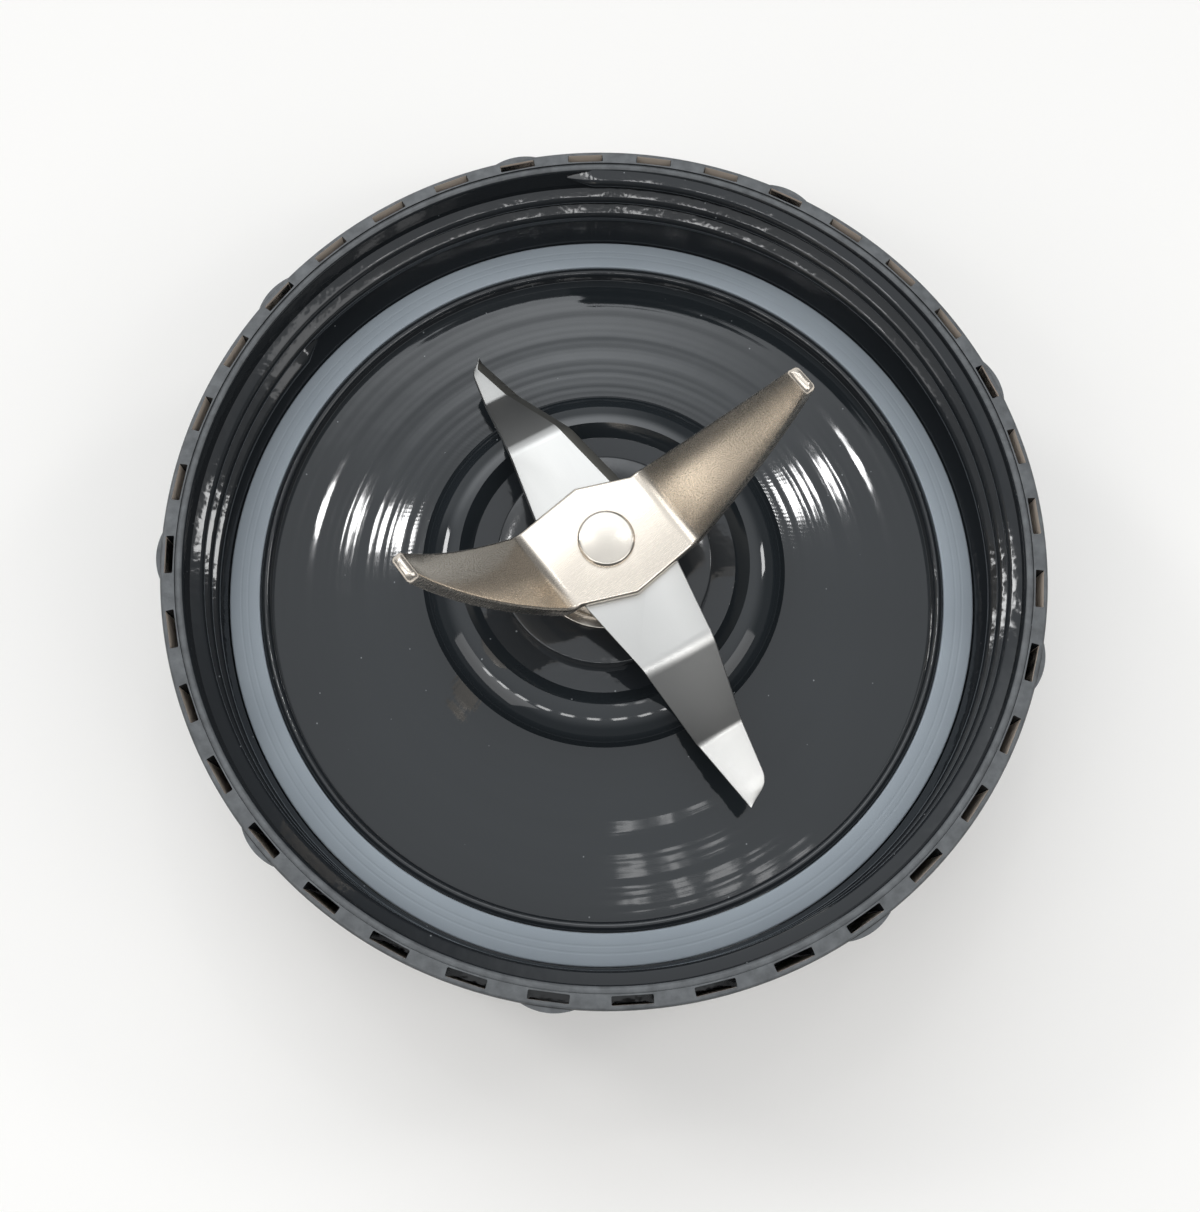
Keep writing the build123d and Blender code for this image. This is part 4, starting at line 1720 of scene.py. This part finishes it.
@dataclass
class LowerBlade(BentSheet):
    """Blade whose arms step down from the hub and are ground along their leading edges."""

    azimuth: float = 302.5
    first_bend: float = 13.2
    second_bend: float = 21.2
    drop_angle: float = 38.0
    tip_angle: float = 14.0
    bend_radius: float = 2.2
    hub_lead: float = -6.2
    hub_trail: float = 6.0
    tip_lead: float = 0.55
    tip_slant: float = 1.5
    tip_round: float = 2.0
    tip_trails: tuple[float, float] = (3.4, 2.2)
    reaches: tuple[float, float] = (29.1, 27.4)
    bevel: Point = (1.2, 0.9)
    overlap: float = 0.5
    bend_chords: int = 10
    arm_chords: int = 4
    tip_chords: int = 14
    edge_chords: int = 12
    tip_gap: float = 0.06
    least_lean: float = 0.5
    most_lean: float = 0.9

    def line(self, reach: float) -> list[tuple[float, float, float]]:
        """Gives the bent line of an arm.

        Args:
            reach: Distance of the tip from the axis.

        Returns:
            Distance out, height and slope of the points along it.
        """
        drop, back = math.radians(self.drop_angle), math.radians(self.drop_angle - self.tip_angle)
        bend = self.bend_radius
        points = [(-self.overlap, 0.0, 0.0)]
        out = self.first_bend - bend * math.tan(drop / 2)
        shares = [step / self.bend_chords for step in range(self.bend_chords + 1)]
        for turn in [drop * share for share in shares]:
            points.append((out + bend * math.sin(turn), bend * (math.cos(turn) - 1), -math.degrees(turn)))
        corner = bend * math.tan(back / 2) * math.cos(drop)
        out = self.second_bend - corner
        height = -(self.second_bend - self.first_bend - corner) * math.tan(drop)
        for slope in [drop - back * share for share in shares]:
            place = out + bend * (math.sin(drop) - math.sin(slope))
            points.append((place, height - bend * (math.cos(slope) - math.cos(drop)), -math.degrees(slope)))
        out, height, slope = points[-1]
        fall = math.tan(math.radians(slope))
        start = reach - self.tip_slant - self.tip_round
        places = [lerp(out, start, step / self.arm_chords) for step in range(1, self.arm_chords + 1)]
        for step in range(1, self.tip_chords + 1):
            places.append(lerp(start, reach - self.tip_gap, step / self.tip_chords))
        points += [(place, height + (place - out) * fall, slope) for place in places]
        return points

    def edges(self, reach: float, tip_trail: float) -> Callable[[float], Point]:
        """Gives the two edges of an arm as a function of the distance out.

        Args:
            reach: Distance of the tip from the axis.
            tip_trail: Place of the trailing corner across the arm.

        Returns:
            Function that gives the leading and the trailing edge.
        """
        outline = rounded(
            [
                (-self.overlap, self.hub_trail, 0),
                (reach - self.tip_slant, tip_trail, self.tip_round),
                (reach, self.tip_lead, 0),
            ],
            closed=False,
            steps=self.edge_chords,
        )

        def at(out: float) -> Point:
            """Gives the leading and trailing edge at a distance out.

            Args:
                out: Distance from the axis along the arm.

            Returns:
                Places of both edges across the arm.
            """
            low = lerp(self.hub_lead, self.tip_lead, max(0.0, out) / reach)
            for (x0, y0), (x1, y1) in zip(outline, outline[1:]):
                if out <= x1:
                    return low, lerp(y0, y1, (out - x0) / (x1 - x0))
            return low, low

        return at

    def arm(self, index: int, side: GroundSide) -> Mesh:
        """Builds one arm.

        Args:
            index: Which arm, 0 or 1.
            side: Side of its ground bevel.

        Returns:
            The arm from just past the axis to its tip.
        """
        reach = self.reaches[index]
        edges = self.edges(reach, self.tip_trails[index])
        azimuth = self.azimuth + 180 * index
        loops = []
        for out, height, slope in self.line(reach):
            station = Station(out, height, slope, *edges(out))
            outline = self.cross_section(station, side, self.bevel)
            loops.append(self.loop(azimuth, self.bottom + self.sheet / 2, station, outline))
        return solid(lofted_form(loops), f"lower_arm_{index}")

    def build(self) -> None:
        """Builds both arms as one sheet, dresses it and marks what is ground."""
        mesh = cut_or_fused(self.arm(0, GroundSide.BELOW), self.arm(1, GroundSide.ABOVE), Joining.FUSE)
        mesh = solid(gathered([cut_or_fused(mesh, self.spigot_hole(), Joining.CUT)]), "lower_blade_sheet")
        self.mark_ground(mesh)
        finishes = (LOWER_SHEET, GROUND_EDGE)
        dressed_piece("lower_blade_sheet", mesh, Body.ROTOR, ["lower_blade"], finishes)

    def mark_ground(self, mesh: Mesh) -> None:
        """Gives the ground faces the second material: they lean towards the leading side.

        Args:
            mesh: The whole blade.
        """
        tilt = math.atan2(self.bevel[1], self.bevel[0])
        angle = math.radians(self.azimuth)
        outward = Vector((math.cos(angle), math.sin(angle), 0))
        for polygon in mesh.polygons:
            side = 1 if polygon.center.dot(outward) > 0 else -1
            leading = Vector((math.sin(angle), -math.cos(angle), 0)) * side
            lean = polygon.normal.dot(leading)
            polygon.material_index = int(self.least_lean * math.sin(tilt) < lean < self.most_lean)


HIDDEN_NODES: dict[str, Finish] = {
    "housing_o_ring": NITRILE,
    "shaft_seal": NITRILE,
    "upper_bushing": BRONZE,
    "lower_bushing": BRONZE,
    "upper_thrust_washer": ZINC_PLATE,
    "lower_thrust_washer": ZINC_PLATE,
    "retaining_clip": ZINC_PLATE,
}


def dress_nodes() -> None:
    """Gives the CAD nodes that stay their own materials."""
    for name, finish in HIDDEN_NODES.items():
        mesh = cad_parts[name].data
        mesh.materials.clear()
        mesh.materials.append(finish.build())
        LOG.info("%s keeps its CAD shape in %s", name, finish.name)


@dataclass(frozen=True)
class LampGroup:
    """Lamps of one size and brightness: a row with a spacing, an arc round the part with a turn, or both."""

    name: str
    direction: tuple[float, float, float]
    size: Point
    radiance: float
    count: int = 1
    spacing: float = 0.0
    turn: float = 0.0


@dataclass
class Studio:
    """Pale floor, soft surround, lamps and softboxes round the part, and the camera."""

    floor_size: float = 6000.0
    floor_colour: str = "#faf7f3"
    floor_roughness: float = 0.9
    room_colour: str = "#f6fafe"
    overhead_span: Point = (0.6, 0.95)
    overhead_levels: Point = (0.24, 1.1)
    back_span: Point = (-0.3, 0.3)
    back_levels: Point = (0.85, 1.0)
    glow_span: Point = (0.3, 0.5)
    glow_levels: Point = (0.0, 2.6)
    glow_side_span: Point = (-0.05, 0.25)
    glow_side_levels: Point = (1.0, 0.0)
    backdrop_level: float = 1.0
    lamp_target: tuple[float, float, float] = (0.0, 0.0, 30.0)
    lamp_distance: float = 900.0
    lamp_groups: tuple[LampGroup, ...] = (
        LampGroup("right_spot", (0.167, 0.334, 0.928), (28.0, 28.0), 45.0),
        LampGroup("left_spot", (-0.173, 0.285, 0.943), (28.0, 28.0), 45.0),
        LampGroup("bar_spot", (0.12, 0.024, 0.99), (30.0, 12.0), 4.0, 5, 33.0),
        LampGroup("east_box", (0.65, 0.3, 0.695), (110.0, 110.0), 11.0),
        LampGroup("west_box", (-0.66, 0.28, 0.695), (130.0, 130.0), 14.0),
        LampGroup("left_fill", (-0.58, -0.41, 0.707), (500.0, 400.0), 1.6),
        LampGroup("right_fill", (0.64, -0.3, 0.707), (500.0, 400.0), 1.6),
        LampGroup("front_box", (0.0, -0.475, 0.88), (55.0, 70.0), 8.0, 11, 40.0, 9.0),
    )
    image_size: Point = (1200.0, 1212.0)
    focal_pixels: float = 1446.15
    optical_centre: Point = (600.0, 430.0)
    sensor: float = 36.0
    camera_place: tuple[float, float, float] = (-1.276, -41.329, 174.158)
    camera_tilt: float = 20.778
    camera_roll: float = 3.413
    camera_range: Point = (1.0, 100000.0)

    def build(self) -> None:
        """Builds the floor, the lights and the camera."""
        bpy.context.scene.view_settings.view_transform = "Standard"
        self.floor()
        self.surround()
        self.lamps()
        self.camera()

    def floor(self) -> None:
        """Lays the floor under the part."""
        half = self.floor_size / 2 * MM
        mesh = bpy.data.meshes.new("floor")
        corners = [(-half, -half, 0), (half, -half, 0), (half, half, 0), (-half, half, 0)]
        mesh.from_pydata(corners, [], [(0, 1, 2, 3)])
        mesh.materials.append(Finish("floor_pale_paper", self.floor_colour, self.floor_roughness).build())
        floor = bpy.data.objects.new("floor", mesh)
        bpy.context.scene.collection.objects.link(floor)

    def surround(self) -> None:
        """Lights the part from a pale room: bright overhead, brightest at the back left, darker low down.

        The camera sees it as an even white backdrop.
        """
        world = bpy.data.worlds.new("room")
        bpy.context.scene.world = world
        world.use_nodes = True
        tree = world.node_tree
        tree.nodes.clear()
        direction = add_node(tree, "ShaderNodeTexCoord").outputs["Generated"]
        axes = add_node(tree, "ShaderNodeSeparateXYZ", {0: direction})
        slopes = (
            ("Z", self.overhead_span, self.overhead_levels, "SMOOTHSTEP"),
            ("Y", self.back_span, self.back_levels, "LINEAR"),
            ("Y", self.glow_span, self.glow_levels, "SMOOTHSTEP"),
            ("X", self.glow_side_span, self.glow_side_levels, "SMOOTHSTEP"),
        )
        overhead, behind, glow, glow_side = [
            add_node(
                tree, "ShaderNodeMapRange",
                {
                    "Value": axes.outputs[axis],
                    "From Min": span[0],
                    "From Max": span[1],
                    "To Min": levels[0],
                    "To Max": levels[1],
                },
                interpolation_type=kind,
            ).outputs[0]
            for axis, span, levels, kind in slopes
        ]
        lit = {0: glow, 1: glow_side, 2: behind}
        room = add_node(tree, "ShaderNodeMath", lit, operation="MULTIPLY_ADD").outputs[0]
        level = add_node(tree, "ShaderNodeMath", {0: overhead, 1: room}, operation="MULTIPLY").outputs[0]
        seen = add_node(tree, "ShaderNodeLightPath").outputs["Is Camera Ray"]
        views = {"Factor": seen, "A": level, "B": self.backdrop_level}
        shown = add_node(tree, "ShaderNodeMix", views, data_type="FLOAT")
        light = {"Color": linear_colour(self.room_colour), "Strength": shown.outputs[0]}
        background = add_node(tree, "ShaderNodeBackground", light)
        add_node(tree, "ShaderNodeOutputWorld", {"Surface": background.outputs[0]})

    def area_lamp(self, name: str, place: Vector, target: Vector, size: Point, radiance: float) -> None:
        """Hangs one flat lamp.

        Args:
            name: Name of the lamp.
            place: Its place in millimetres.
            target: Point that it faces, in millimetres.
            size: Its width and height in millimetres.
            radiance: Brightness of its face, where the room's ceiling is about 1.
        """
        data = bpy.data.lights.new(name, "AREA")
        data.shape = "RECTANGLE"
        data.size, data.size_y = size[0] * MM, size[1] * MM
        data.energy = radiance * math.pi * data.size * data.size_y
        lamp = bpy.data.objects.new(name, data)
        bpy.context.scene.collection.objects.link(lamp)
        facing = (target - place).to_track_quat("-Z", "Y").to_matrix().to_4x4()
        lamp.matrix_world = Matrix.Translation(place * MM) @ facing

    def lamps(self) -> None:
        """Hangs all lamps and softboxes, facing the dish."""
        centre = Vector(self.lamp_target)
        for group in self.lamp_groups:
            overhead = Vector(group.direction).normalized() * self.lamp_distance
            for index in range(group.count):
                step = index - (group.count - 1) / 2
                round_part = Matrix.Rotation(math.radians(step * group.turn), 3, "Z")
                place = centre + round_part @ overhead + Vector((step * group.spacing, 0, 0))
                self.area_lamp(f"{group.name}_{index}", place, centre, group.size, group.radiance)

    def camera(self) -> None:
        """Stands the camera over the front of the part."""
        data = bpy.data.cameras.new("camera")
        longer = max(self.image_size)
        data.sensor_width = self.sensor
        data.lens = self.focal_pixels / longer * self.sensor
        data.shift_x = (self.image_size[0] / 2 - self.optical_centre[0]) / longer
        data.shift_y = (self.optical_centre[1] - self.image_size[1] / 2) / longer
        data.clip_start, data.clip_end = [reach * MM for reach in self.camera_range]
        camera = bpy.data.objects.new("camera", data)
        bpy.context.scene.collection.objects.link(camera)
        tilt = Matrix.Rotation(math.radians(self.camera_tilt), 4, "X")
        roll = Matrix.Rotation(math.radians(self.camera_roll), 4, "Z")
        camera.matrix_world = Matrix.Translation(Vector(self.camera_place) * MM) @ tilt @ roll
        bpy.context.scene.camera = camera


def main() -> None:
    """Builds every sub-assembly, then the studio."""
    logging.basicConfig(level=logging.INFO, format="%(name)s: %(message)s")
    for part in (Collar(), Gasket(), Bearing(), Shaft(), Coupling(), UpperBlade(), LowerBlade()):
        part.build()
        LOG.info("%s is built", type(part).__name__)
    dress_nodes()
    Studio().build()


if __name__ == "__main__":
    main()
